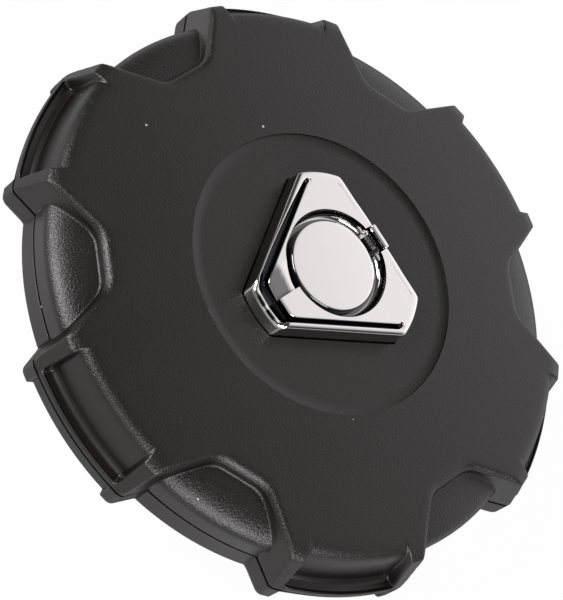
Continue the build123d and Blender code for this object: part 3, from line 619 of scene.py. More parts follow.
    def shoulder_section(self, height: np.ndarray) -> np.ndarray:
        """Radius of the rounded shoulder under a scallop, a cubic curve from level to upright.

        Its four control points are the step, a handle out and down from it, a handle back and up
        from the upright end, and that end.

        Args:
            height: Heights at which the radius is read.

        Returns:
            Radii, and -1 above the step, where there is no shoulder.
        """
        share = np.linspace(0.0, 1.0, 240)
        out, down, back, up = 5.0, 0.9, 0.1, 2.3
        ends = np.array([[self.shoulder_start, self.step_z],
                         [self.shoulder_start + out, self.step_z - down],
                         [self.shoulder_radius - back, self.shoulder_end_z + up],
                         [self.shoulder_radius, self.shoulder_end_z]])
        weights = np.stack([(1 - share) ** 3, 3 * share * (1 - share) ** 2,
                            3 * share ** 2 * (1 - share), share ** 3], axis=-1)
        curve = weights @ ends
        radius = np.interp(-height, -curve[:, 1], curve[:, 0])
        return np.where(height > self.step_z, -1.0, radius)

    def even_path(self, radius: np.ndarray, height: np.ndarray) -> np.ndarray:
        """Resamples sections to one even spacing, the last point repeated where one is shorter.

        Args:
            radius: Radii, as columns by samples.
            height: Heights, of the same shape.

        Returns:
            Columns by samples by two.
        """
        path = np.stack(np.broadcast_arrays(radius, height), axis=-1)
        longest = np.sqrt(np.sum(np.diff(path, axis=1) ** 2, axis=-1)).sum(axis=1).max()
        stations = np.arange(0.0, longest, self.spacing)
        return read_along(path, np.broadcast_to(stations, (len(path), len(stations))))

    def rounded(self, path: np.ndarray) -> np.ndarray:
        """Rounds a section: a wide blur at the face's edge, a tight one below it.

        Args:
            path: Sections, as columns by samples by two.

        Returns:
            The rounded sections.
        """
        reach = 0.6
        wide = blurred(path, round(self.face_round / self.spacing))
        tight = blurred(path, round(self.foot_round / self.spacing))
        share = ease(path[..., 1:], self.round_split_z - reach, self.round_split_z + reach)
        return tight + (wide - tight) * share

    def at_height(self, path: np.ndarray, height: float) -> np.ndarray:
        """Distance along each section at which it falls to a height."""
        return first_crossing(path[..., 1], height, self.spacing)

    def at_radius(self, path: np.ndarray, radius: float) -> np.ndarray:
        """Distance along each section at which it reaches a radius."""
        return first_crossing(-path[..., 0], -radius, self.spacing)

    def at_heading(self, path: np.ndarray, heading: float) -> np.ndarray:
        """Distance along each section at which it first points lower than a heading in degrees."""
        step = np.diff(path, axis=1)
        headings = np.degrees(np.arctan2(step[..., 1], step[..., 0]))
        return first_crossing(headings, heading, self.spacing)

    def rows_between(self, path: np.ndarray, knots: np.ndarray) -> np.ndarray:
        """Reads a section at a fixed number of rows between its knots.

        The rows of the first run, which is the face, crowd towards its edge by a power.

        Args:
            path: Sections, as columns by samples by two.
            knots: Distances of the knots, as columns by knots.

        Returns:
            Points, as columns by rows by two.
        """
        crowding = 1.6
        runs = []
        for number, count in enumerate(self.row_counts):
            share = np.arange(count) / count
            if number == 0:
                share = 1.0 - (1.0 - share) ** crowding
            start, end = knots[:, number:number + 1], knots[:, number + 1:number + 2]
            runs.append(start * (1 - share) + end * share)
        return read_along(path, np.concatenate(runs + [knots[:, -1:]], axis=1))

    def rib_section(self, angle: np.ndarray) -> np.ndarray:
        """Outer rows of each column outside the pockets.

        At each height the radius is the smaller of the dome's section and the drafted wall, but
        at least the shoulder's. The knots are the disc's edge, the start and the end of the
        face's rounded edge, the two sides of the step, the shoulder's upright end, the land and
        the parting line, each kept some way behind the one before it.

        Args:
            angle: Plan angles of the columns.

        Returns:
            Points, as columns by rows by radius and height.
        """
        radius, height = self.lobe_section()
        inset = (height - self.parting_z) * math.tan(math.radians(self.draft))
        wall = self.outline.radius(angle[:, None], inset[None, :])
        upper = np.minimum(radius[None, :], wall)
        shoulder = self.shoulder_section(height)[None, :]
        foot = np.argmax((shoulder >= upper) & (height[None, :] <= self.step_z), axis=1)
        foot_z = np.maximum(np.where(foot > 0, height[foot], 0.0), self.land_z)
        path = self.rounded(self.even_path(np.maximum(upper, shoulder), height))
        path = self.even_path(path[..., 0], path[..., 1])
        step = first_crossing(path[..., 1] - foot_z[:, None], 0.0, self.spacing)
        knots = [self.at_radius(path, self.disc_radius), self.at_heading(path, self.edge_heading),
                 self.at_heading(path, self.wall_heading)]
        knots.append(np.maximum(step - 0.55, knots[2] + 0.3))
        knots.append(knots[3] + 1.25)
        knots.append(np.maximum(self.at_height(path, self.shoulder_end_z), knots[4] + 0.3))
        knots.append(np.maximum(self.at_height(path, self.land_z), knots[5] + 0.4))
        knots.append(self.at_height(path, self.parting_z + self.last_row))
        return self.rows_between(path, np.stack(knots, axis=1))

    def pocket_section(self) -> np.ndarray:
        """Outer rows of a column through the middle of a pocket.

        The panel falls from the lobe's rounded top edge, a gutter rounds its foot, and a low lip
        stands at the outer edge. The knots are the disc's edge, the start and the end of the top
        edge, the two sides of the panel's foot, the two sides of the lip and the parting line.

        Returns:
            Points, as rows by radius and height.
        """
        radius, height = self.lobe_section()
        top = radius < self.pocket_top
        top_z, floor = height[top][-1], self.pocket_floor_z
        lip_z, outer = floor + self.lip_height, self.outline.outer
        corners = np.array([
            (self.pocket_top, top_z), (self.pocket_top + 0.18, top_z - 1.0),
            (self.pocket_base, floor + self.gutter), (self.pocket_base + self.gutter, floor),
            (self.lip_inner, floor), (self.lip_inner + 0.08, lip_z), (outer - 0.12, lip_z - 0.02),
            (outer, self.parting_z), (outer, self.parting_z - self.overrun)])
        path = self.even_path(np.concatenate([radius[top], corners[:, 0]])[None, :],
                              np.concatenate([height[top], corners[:, 1]])[None, :])
        broad = blurred(path, round(self.pocket_round / self.spacing))
        fine = blurred(path, round(self.gutter_round / self.spacing))
        path = fine + (broad - fine) * ease(path[..., 1:], *self.pocket_blend)
        path = self.even_path(path[..., 0], path[..., 1])
        foot = self.at_height(path, floor + 1.5)
        lip = self.at_radius(path, self.lip_inner - 0.25)
        end = np.maximum(self.at_height(path, self.parting_z + self.last_row), lip + 1.4)
        knots = [self.at_radius(path, self.disc_radius), self.at_heading(path, self.edge_heading),
                 self.at_heading(path, self.panel_heading), foot, foot + 2.2, lip, lip + 1.1, end]
        return self.rows_between(path, np.stack(knots, axis=1))[0]

    def underside(self, seat: np.ndarray) -> list[tuple[Any, float]]:
        """Rows from the parting line inwards, under the face and up to the disc's edge.

        Args:
            seat: Radius of the bezel's seat, per column.

        Returns:
            Radius and height of each row: the ring's seat, the ceiling, the bore, the bezel's
            seat and the recessed disc.
        """
        disc_z, edge = self.face_z - self.disc_recess, 0.15
        return [
            (self.shell_bore, self.parting_z), (self.shell_bore, self.ring_seat_z),
            (self.ring_bore, self.ring_seat_z),
            (self.ceiling_radius + self.ceiling_chamfer, self.ceiling_z - self.ceiling_chamfer),
            (self.ceiling_radius, self.ceiling_z), (30.0, self.ceiling_z),
            (self.bore, self.ceiling_z), (self.bore, self.seat_z), (seat, self.seat_z),
            (seat, disc_z - edge), (seat + edge, disc_z), (22.5, disc_z), (27.0, disc_z),
            (self.disc_radius - 0.16, disc_z), (self.disc_radius - 0.05, disc_z + 0.08),
            (self.disc_radius, self.face_z - 0.12)]

    def build(self, finish: bpy.types.Material) -> bpy.types.Object:
        """Closes the outer rows over the hollow underside, the seat and the recessed disc.

        Args:
            finish: Moulded plastic.

        Returns:
            The shell's object.
        """
        blend = 0.45
        angle = self.column_angles()
        rib = self.rib_section(angle)
        pocket = self.pocket_section()[None, :, :]
        fold = np.degrees(self.outline.fold(angle))
        share = ease(fold, self.pocket_edge - blend, self.pocket_edge + blend)[:, None, None]
        outer = rib + (pocket - rib) * share
        bottom = outer[:, -1:, :] - self.last_row
        bottom[..., 1] = self.parting_z
        inner = level_rows(self.underside(self.seat.radius(angle)), len(angle))
        section = np.concatenate([outer, bottom, inner], axis=1)
        grid = polar(section[..., 0], angle[:, None], section[..., 1]).transpose(1, 0, 2)
        grain = self.grain(section, fold).T
        piece = Piece("grip_shell", grid, masks={"grain": grain}, sharp=42.0)
        return piece.make(finish, "shell_plastic", "upper_shell")

    def stiffeners(self, finish: bpy.types.Material) -> None:
        """Ribs under the face and the bosses for the spigot's screws.

        Args:
            finish: Moulded plastic.
        """
        edge, pitch = 0.1, 360.0 / self.rib_count
        bar = upright_bar(self.rib_length / 2.0, self.rib_width / 2.0, self.ring_seat_z,
                          self.rib_top_z, edge) + [self.rib_middle, 0.0, 0.0]
        ribs = np.stack([swung(bar, pitch * (number + 0.5)) for number in range(self.rib_count)])
        Piece("face_ribs", ribs, closed_rows=False).make(finish, "shell_plastic")
        low, hole = self.boss_z, self.boss_hole
        profile = [(0.0, self.ceiling_z), (self.boss, self.ceiling_z),
                   (self.boss, low + self.boss_bevel), (self.boss - self.boss_bevel, low),
                   (hole, low), (hole, low + self.boss_depth), (0.0, low + self.boss_depth)]
        boss = turned_profile(profile, 48) + [self.boss_circle, 0.0, 0.0]
        bosses = np.stack([swung(boss, angle) for angle in self.boss_angles])
        Piece("screw_bosses", bosses, closed_rows=False).make(finish, "shell_plastic")

    def grain(self, section: np.ndarray, fold: np.ndarray) -> np.ndarray:
        """Share of moulded grain at each point: some on the face, full at its edge and shoulders.

        The drafted walls, the pocket panels and everything below the shoulder are smooth. The
        slope of the section decides, as a steep run is a wall.

        Args:
            section: Points, as columns by rows by radius and height.
            fold: Angle in degrees from the nearest scallop's middle, per column.

        Returns:
            Values from 0 to 1, as columns by rows.
        """
        radius, height, fold = section[..., 0], section[..., 1], fold[:, None]
        run = np.gradient(section, axis=1)
        steep = np.degrees(np.arctan2(np.abs(run[..., 1]), np.abs(run[..., 0]) + 1e-6))
        edge = ease(steep, 6.0, 16.0) * ease(radius, 40.0, 42.0)
        top = (self.face_grain + (1.0 - self.face_grain) * edge) * (1.0 - ease(steep, 60.0, 78.0))
        in_pocket = (fold > self.pocket_edge) & (height < self.pocket_grain_z)
        value = np.where(in_pocket | (height < self.grain_low_z), 0.0, top)
        on_shoulder = ((fold < self.scallop_half) & (radius < self.shoulder_radius + 0.2)
                       & (height < self.step_z + 0.2) & (height > self.grain_low_z))
        shoulder = np.maximum(value, 1.0 - ease(steep, 74.0, 86.0))
        return np.where(on_shoulder, shoulder, value)


# ---- Lower ring


@dataclass
class LowerRing:
    """The ring under the shell: smooth walls in the scallops, a nub under each horn.

    Attributes:
        outline: Plan outline at the parting line.
        top_z: Height of the ring's top edge.
        bottom_z: Height of its bottom.
        shoulder: Radius of the smooth wall under a scallop.
        foot: Radius of a lobe's wall at the bottom.
        nub_round: Radius of a nub's lower edge.
        nub_start: Angles in degrees from a scallop's middle between which the nub begins.
        pocket_edge: Angle in degrees from a scallop's middle at which a lobe's wall starts.
        bore: Radius of the bore.
        lip: Outer radius of the lip that enters the shell.
        lip_z: Height of that lip.
        wall: Thickness of the walls round the cored channel.
        foot_bevel: Bevel of the smooth wall's lower edge.
        groove: Depth of the rabbet at the top edge.
        groove_height: Height of that rabbet.
        groove_rows: Distances from the top edge of the rows that form it.
        wall_rows: Number of rows from there to the bottom.
        webs: Number of webs across the channel.
        web_half: Half the width of a web, in degrees.
        web_recess: Height of a web's edge over the bottom.
    """

    outline: LobedOutline = field(default_factory=LobedOutline)
    top_z: float = 22.5
    bottom_z: float = 17.2
    shoulder: float = 57.0
    foot: float = 60.4
    nub_round: float = 1.3
    nub_start: tuple[float, float] = (12.4, 13.6)
    pocket_edge: float = 18.5
    bore: float = 50.4
    lip: float = 53.4
    lip_z: float = 25.6
    wall: float = 2.1
    foot_bevel: float = 0.2
    groove: float = 0.5
    groove_height: float = 0.245
    groove_rows: tuple[float, ...] = (0.0, 0.24, 0.25, 0.32, 0.6)
    wall_rows: int = 15
    webs: int = 12
    web_half: float = 0.9
    web_recess: float = 1.0

    def column_angles(self) -> np.ndarray:
        """Plan angles of the columns, closest where the scallop wall leaves the round shoulder."""
        plan = ((0.0, 0.8, 2), (0.8, 1.0, 2), (1.0, 11.8, 6), (11.8, 13.2, 5), (13.2, 14.6, 3),
                (14.6, 17.0, 9), (17.0, 18.2, 3), (18.2, 18.8, 5), (18.8, 29.0, 7),
                (29.0, 29.2, 2), (29.2, 30.0, 2))
        return self.outline.columns(plan)

    def build(self, finish: bpy.types.Material) -> bpy.types.Object:
        """Outer wall, bottom with its cored channel and webs, bore, lip and top face.

        Args:
            finish: Moulded plastic of the ring.

        Returns:
            The ring's object.
        """
        angle = self.column_angles()
        high, radius = self.outer_wall(angle)
        outer = np.stack(np.broadcast_arrays(radius, self.top_z - high), axis=-1)
        pitch, corner = 360.0 / self.webs, 0.2
        web_angle = np.abs((np.degrees(angle) + pitch / 2.0) % pitch - pitch / 2.0)
        core_z = np.where(web_angle < self.web_half, self.bottom_z + self.web_recess,
                          self.top_z - self.wall)
        channel_outer, channel_inner = self.shoulder - self.wall, self.bore + self.wall
        rows: list[tuple[Any, Any]] = [
            (channel_outer, self.bottom_z), (channel_outer - 0.1, core_z),
            (channel_inner + 0.1, core_z), (channel_inner, self.bottom_z),
            (self.bore, self.bottom_z), (self.bore, self.lip_z), (self.lip - corner, self.lip_z),
            (self.lip, self.lip_z - corner), (self.lip, self.top_z)]
        section = np.concatenate([outer, level_rows(rows, len(angle))], axis=1)
        grid = polar(section[..., 0], angle[:, None], section[..., 1]).transpose(1, 0, 2)
        # Painted shade: the rabbet's rows at the top edge lose their gloss through the deep mask,
        # so the gap under the shell reads dark.
        deep = (grid[..., 2] > self.top_z - 0.27) & (grid[..., 2] < self.top_z + 0.01)
        masks = {"grain": np.zeros(grid.shape[:2]), "deep": deep.astype(float)}
        piece = Piece("nub_ring", grid, masks=masks, sharp=38.0)
        return piece.make(finish, "ring_plastic", "lower_ring")

    def outer_wall(self, angle: np.ndarray) -> tuple[np.ndarray, np.ndarray]:
        """Radius of the outer wall: upright in a scallop, rounded under a horn, tapered on a lobe.

        Args:
            angle: Plan angles of the columns.

        Returns:
            Distances from the top edge, as one row, and radii, as columns by rows.
        """
        tall, blend = self.top_z - self.bottom_z, 0.22
        fold = np.degrees(self.outline.fold(angle))[:, None]
        base = np.maximum(self.outline.radius(angle), self.shoulder)[:, None]
        high = np.concatenate([self.groove_rows, np.linspace(0.9, tall, self.wall_rows)])[None, :]
        curl = np.clip(high - (tall - self.nub_round), 0.0, self.nub_round)
        nub = base - (self.nub_round - np.sqrt(np.maximum(self.nub_round ** 2 - curl ** 2, 0.0)))
        slope = (self.outline.outer - self.foot) / tall
        lobe = self.outline.outer - high * slope
        plain = base - np.clip(high - (tall - self.foot_bevel), 0.0, self.foot_bevel) * 0.9
        rounded = plain + (nub - plain) * ease(fold, *self.nub_start)
        on_lobe = ease(fold, self.pocket_edge - blend, self.pocket_edge + blend)
        radius = rounded + (lobe - rounded) * on_lobe
        corner = np.where(high < 0.3, 0.07, 0.0)
        return high, radius - np.where(high < self.groove_height, self.groove, corner)


# ---- Bezel, dust flap and hinge


@dataclass
class Bezel:
    """The chromed three-cornered bezel with its round well, two channels and nail ramp.

    Attributes:
        wedge: Plan outline of the foot.
        base_z: Height of the foot.
        top_z: Height of the plate.
        draft: Lean of the outer walls, in degrees.
        edge_round: Radius of the outer top edge.
        well_edge: Radius of the well's edge.
        well_middle_y: How far its middle lies towards the hinge.
        well_bowl: Width of the hollow wall of the well.
        ramp_facing: Plan angle in degrees at which the ramp cuts into the well's edge.
        ramp_cut: How far it does.
        ledge_z: Height of the well's floor.
        bore: Radius of the bore for the lock.
        skirt: Radius of the skirt under the foot.
        skirt_z: Height of the skirt's end.
        channel_inner: Distance from the axis to a channel's inner side.
        right_shift: How much further out the right channel's inner side lies.
        channel_outer: Distance from the axis to a channel's outer side.
        left_cap: How much further out the left channel may reach.
        left_outer: Distance to the left channel's outer side.
        channel_taper: Turn of that side, in degrees.
        channel_floor_z: Height of the channels' floor.
        plate_front: Distance from the axis to the plate's front edge.
        plate_back: Distance to its edge at the hinge.
        plate_reach: Radius of its corners.
        corner_floor_z: Height of the floor in the low corner.
        corner_rim_z: Height of the rim there.
        corner_rim: Inner radius of the rim in the low corner.
        back_rim: Inner radius of the rim in the other two corners.
        back_side: Distance from the axis to the rim at the hinge.
        ramp_width: Width of the nail ramp.
        ramp_drop: Depth of the ramp at its step.
        slot_angle: Half the angle that the hinge slot's columns take, in degrees.
        slot_half: Half the width of the slot.
        slot_back: Distance from the axis to the slot's back.
        slot_floor_z: Height of the slot's floor.
        slot_blend: Angle in degrees at which the columns are even again.
        slot_lip: How far the rim lies lower behind the slot.
        inner_rows: Rows down a channel's inner side: how far out, share of the depth, and share of
            painted shade.
        outer_rows: Rows up its outer side: how far out, share of the climb, and share of painted
            shade.
    """

    wedge: WedgeOutline = field(default_factory=lambda: WedgeOutline(13.98, 13.98, 19.98, 0.6))
    base_z: float = 33.0
    top_z: float = 39.0
    draft: float = 0.8
    edge_round: float = 0.9
    well_edge: float = 11.3
    well_middle_y: float = 0.85
    well_bowl: float = 1.35
    ramp_facing: float = 245.0
    ramp_cut: float = 0.5
    ledge_z: float = 36.75
    bore: float = 9.0
    skirt: float = 12.0
    skirt_z: float = 30.4
    channel_inner: float = 11.5
    right_shift: float = 0.15
    channel_outer: float = 12.7
    left_cap: float = 0.75
    left_outer: float = 13.4
    channel_taper: float = 5.0
    channel_floor_z: float = 37.6
    plate_front: float = 16.1
    plate_back: float = 11.9
    plate_reach: float = 17.6
    corner_floor_z: float = 37.1
    corner_rim_z: float = 37.9
    corner_rim: float = 18.5
    back_rim: float = 18.35
    back_side: float = 12.75
    ramp_width: float = 5.6
    ramp_drop: float = 1.1
    slot_angle: float = 14.2
    slot_half: float = 2.75
    slot_back: float = 13.05
    slot_floor_z: float = 36.05
    slot_blend: float = 32.0
    slot_lip: float = 0.6
    inner_rows: tuple[tuple[float, float, float], ...] = (
        (-0.09, 0.008, 0.0), (-0.04, 0.04, 0.0), (0.0, 0.11, 0.7), (0.02, 0.35, 1.0),
        (0.04, 0.6, 1.0), (0.11, 0.77, 1.0), (0.22, 0.9, 1.0), (0.35, 0.97, 1.0), (0.48, 1.0, 1.0))
    outer_rows: tuple[tuple[float, float, float], ...] = (
        (-0.42, 0.01, 1.0), (-0.3, 0.07, 1.0), (-0.18, 0.18, 1.0), (-0.08, 0.36, 1.0),
        (-0.03, 0.6, 1.0), (0.0, 0.85, 0.7), (0.04, 0.95, 0.1), (0.09, 0.99, 0.0), (0.15, 1.0, 0.0))

    def column_angles(self) -> np.ndarray:
        """Plan angles of the columns, doubled at the hinge slot's sides and at the ramp's step."""
        side = 90.0 - self.slot_angle
        double = side - 0.05
        runs = ((-89.95, -68.0, 76), (-68.0, 0.0, 60), (0.0, 26.0, 44), (26.0, double, 44),
                (double, side, 1), (side, 90.0, 12))
        half = np.concatenate([np.linspace(start, end, steps, endpoint=False)
                               for start, end, steps in runs])
        return np.radians(np.concatenate([half, [90.0], 180.0 - half[::-1]]))

    def well_curve(self, angle: np.ndarray) -> np.ndarray:
        """Edge of the well, a circle whose middle lies towards the hinge, cut wider at the ramp.

        Args:
            angle: Plan angles in radians.

        Returns:
            Distance of the edge from the axis.
        """
        aside = self.well_middle_y * np.cos(angle)
        circle = self.well_middle_y * np.sin(angle) + np.sqrt(self.well_edge ** 2 - aside ** 2)
        at_ramp = 1.0 - ease(np.abs(self.off(angle, self.ramp_facing)), 14.0, 40.0)
        return circle + self.ramp_cut * at_ramp * (np.cos(angle) < -0.0005)

    def inner_curve(self, angle: np.ndarray, out: float = 0.0) -> np.ndarray:
        """Edge of the raised plate, moved outwards: the channels' inner sides and the front.

        Args:
            angle: Plan angles in radians.
            out: How far outwards the edge is moved.

        Returns:
            Distance of the edge from the axis.
        """
        curve = np.full(angle.shape, self.plate_reach + out)
        sides = ((LEFT_SIDE, self.channel_inner, 0.6),
                 (RIGHT_SIDE, self.channel_inner + self.right_shift, 0.6),
                 (HINGE_SIDE, self.plate_back, 0.5), (FRONT, self.plate_front, 1.2))
        for facing, distance, blend in sides:
            curve = soft_min(curve, (distance + out) / off_cosine(angle, facing), blend)
        return curve

    def outer_curve(self, angle: np.ndarray, out: float = 0.0) -> np.ndarray:
        """Inner edge of the raised rim: the channels' outer sides and the low corner's circle.

        The left channel widens towards the front, as its outer side is turned by the taper.

        Args:
            angle: Plan angles in radians.
            out: How far outwards the edge is moved.

        Returns:
            Distance of the edge from the axis.
        """
        blend = 0.8
        back = ease(np.abs(self.off(angle, FRONT)), 40.0, 60.0)
        curve = self.corner_rim + (self.back_rim - self.corner_rim) * back + out
        sides = ((LEFT_SIDE, self.channel_outer + self.left_cap),
                 (LEFT_SIDE - self.channel_taper, self.left_outer),
                 (RIGHT_SIDE, self.channel_outer), (HINGE_SIDE, self.back_side))
        for facing, distance in sides:
            curve = soft_min(curve, (distance + out) / off_cosine(angle, facing), blend)
        return curve

    @staticmethod
    def off(angle: np.ndarray, facing: float) -> np.ndarray:
        """Angle in degrees from a facing, between -180 and 180."""
        return np.degrees((angle - math.radians(facing) + math.pi) % FULL_TURN - math.pi)

    def build(self, finish: bpy.types.Material) -> bpy.types.Object:
        """Rows follow the well, the plate's edge, the channel and the outline in turn.

        In the hinge slot's columns the rows lie on the slot's floor up to its back.

        Args:
            finish: Bright plating.

        Returns:
            The bezel's object.
        """
        base = self.column_angles()
        off_back = self.off(base, HINGE_SIDE)
        off_front = np.abs(self.off(base, FRONT))
        in_slot = np.abs(off_back) < self.slot_angle + 0.02
        channel = 1.0 - ease(off_front, 109.5, 112.0)
        corner = 1.0 - ease(off_front, 11.0, 16.5)
        low = 1.0 - ease(off_front, 12.0, 24.0)
        rim_z = self.top_z + (self.corner_rim_z - self.top_z) * corner
        floor_z = self.channel_floor_z + (self.corner_floor_z - self.channel_floor_z) * low
        floor_z = self.top_z + (floor_z - self.top_z) * channel
        rows: list[tuple[np.ndarray, np.ndarray, np.ndarray]] = []

        # Each row carries a share of painted shade along with its radii and heights.
        def add(radius: Any, height: Any, deep: Any = 0.0) -> None:
            """Adds one row of radii, heights and shares of soot."""
            values = (radius, height, deep)
            rows.append(tuple(np.broadcast_to(value, base.shape).astype(float) for value in values))

        slot_z = np.where(in_slot, self.slot_floor_z, self.ledge_z)
        # Painted shade: the hinge slot is painted near black all over.
        painted_shade = np.where(in_slot, 1.0, 0.0)
        edge = np.minimum(self.well_curve(base), self.inner_curve(base, -0.3))
        bowl = self.well_bowl * (0.15 + 0.85 * ease(np.sin(base), -0.8, 0.4))
        foot = edge - bowl
        # Painted shade on the well's floor round the bore and under the disc's edge.
        add(self.bore, slot_z, 0.9)
        add(self.bore + 0.3, slot_z, 0.9)
        add(foot - 0.05, slot_z, 0.85)
        lip = self.plate(edge, base, in_slot)
        for turn in np.radians(np.linspace(0.0, 90.0, 12)):
            rise = self.ledge_z + (lip - self.ledge_z) * (1.0 - math.cos(turn))
            add(foot + bowl * math.sin(turn), np.where(in_slot, slot_z, rise),
                np.where(in_slot, 1.0, 0.85 if turn == 0.0 else 0.0))
        brim = edge + 0.1
        add(brim, np.where(in_slot, slot_z, lip), painted_shade)
        plate_end = self.inner_curve(base, -0.15)
        for share in (0.05, 0.15, 0.3, 0.5, 0.7, 0.9, 1.0):
            radius = brim + (plate_end - brim) * share
            add(radius, self.plate(radius, base, in_slot), painted_shade)
        brink = self.plate(plate_end, base, in_slot)
        depth = np.maximum(brink - floor_z, 0.0)
        # Painted shade down the channels, near black, fading out where the channels end.
        dark = np.where(in_slot, 1.0, 0.985 * channel)
        room = np.clip(self.outer_curve(base) - self.inner_curve(base), 0.1, 1.0)
        for out, down, shade in self.inner_rows:
            add(self.inner_curve(base, out * room),
                np.where(in_slot, slot_z, brink - depth * down), np.maximum(painted_shade, dark * shade))
        far = np.minimum(floor_z, brink)
        climb = np.maximum(rim_z - far, 0.0)
        straight = 1.0 / np.cos(np.radians(off_back))
        for out, up, shade in self.outer_rows:
            back = (self.slot_back + 0.1 * out) * straight
            inside = np.where(up < 0.5, slot_z, rim_z - self.slot_lip)
            add(np.where(in_slot, back, self.outer_curve(base, out * room)),
                np.where(in_slot, inside, far + climb * up), np.where(in_slot, 1.0, dark * shade))
        rim = np.maximum(rows[-1][0] + 0.02, self.wedge.radius(base, self.edge_round))
        # Painted shade on the upper rows of the rim's rounded edge, either side of the low front
        # corner's middle.
        shaded = 0.97 * (1.0 - ease(off_front, 7.0, 10.0)) * ease(off_front, 0.9, 1.8)
        tilt, steps, wall_row = math.tan(math.radians(self.draft)), 7, 1.6
        for step in range(steps + 1):
            turn = math.radians(90.0) * step / steps
            fall = self.edge_round * (1.0 - math.cos(turn))
            outline = self.wedge.radius(base, (rim_z - fall - self.base_z) * tilt)
            add(rim + (outline - rim) * math.sin(turn),
                rim_z - fall - np.where(in_slot, self.slot_lip, 0.0), shaded * (step < 4))
        add(self.wedge.radius(base, wall_row * tilt), self.base_z + wall_row)
        add(self.wedge.radius(base), self.base_z)
        add(self.skirt, self.base_z)
        add(self.skirt, self.skirt_z)
        add(self.bore, self.skirt_z)
        radius, height, deep = (np.stack(values) for values in zip(*rows))
        grid = polar(radius, self.warped(off_back, radius), height)
        x, y = grid[..., 0], grid[..., 1]
        on_plate = (height > 37.7) & (radius < self.inner_curve(base, -0.1)[None, :])
        near = (x < -0.01) & (y < -self.bore) & on_plate
        brushed = near * ease(x, -7.2, -4.8) * ease(-y, 11.2, 12.4)
        piece = Piece("bright_bezel", grid, masks={"brushed": brushed, "deep": deep}, sharp=42.0)
        return piece.make(finish, "bezel_chrome", "lock_bezel")

    def plate(self, radius: np.ndarray, angle: np.ndarray, in_slot: np.ndarray) -> np.ndarray:
        """Height of the plate: level, but for the nail ramp left of the front and the hinge slot.

        Args:
            radius: Distance from the axis.
            angle: Plan angle of each column.
            in_slot: Whether a column lies in the hinge slot.

        Returns:
            Height of the plate. The ramp falls evenly from its outer side to the step at x = 0.
        """
        x = radius * np.cos(angle)
        y = radius * np.sin(angle)
        fall = np.clip((x + self.ramp_width) / self.ramp_width, 0.0, 1.0) * self.ramp_drop
        height = self.top_z - np.where((x < -0.005) & (y < -self.bore), fall, 0.0)
        return np.where(in_slot, self.slot_floor_z, height)

    def warped(self, off_back: np.ndarray, radius: np.ndarray) -> np.ndarray:
        """Plan angles of the points, bent so that the slot's sides run straight back.

        Args:
            off_back: Angle in degrees from the hinge side's middle, per column.
            radius: Radii, as rows by columns.

        Returns:
            Angles, as rows by columns. Inside the slot the angle shrinks as the radius grows, and
            beside it the angle comes back to the plain one.
        """
        slot, even = self.slot_angle, self.slot_blend
        narrow = np.degrees(np.arcsin(self.slot_half / np.clip(radius, 11.2, 14.0)))
        inside = off_back * narrow / slot
        share = np.clip((np.abs(off_back) - slot) / (even - slot), 0.0, 1.0)
        outside = np.sign(off_back) * (narrow + (even - narrow) * share)
        bent = np.where(np.abs(off_back) <= slot, inside, outside)
        bent = np.where(np.abs(off_back) < even, bent, off_back)
        return np.radians(bent) + math.radians(HINGE_SIDE)


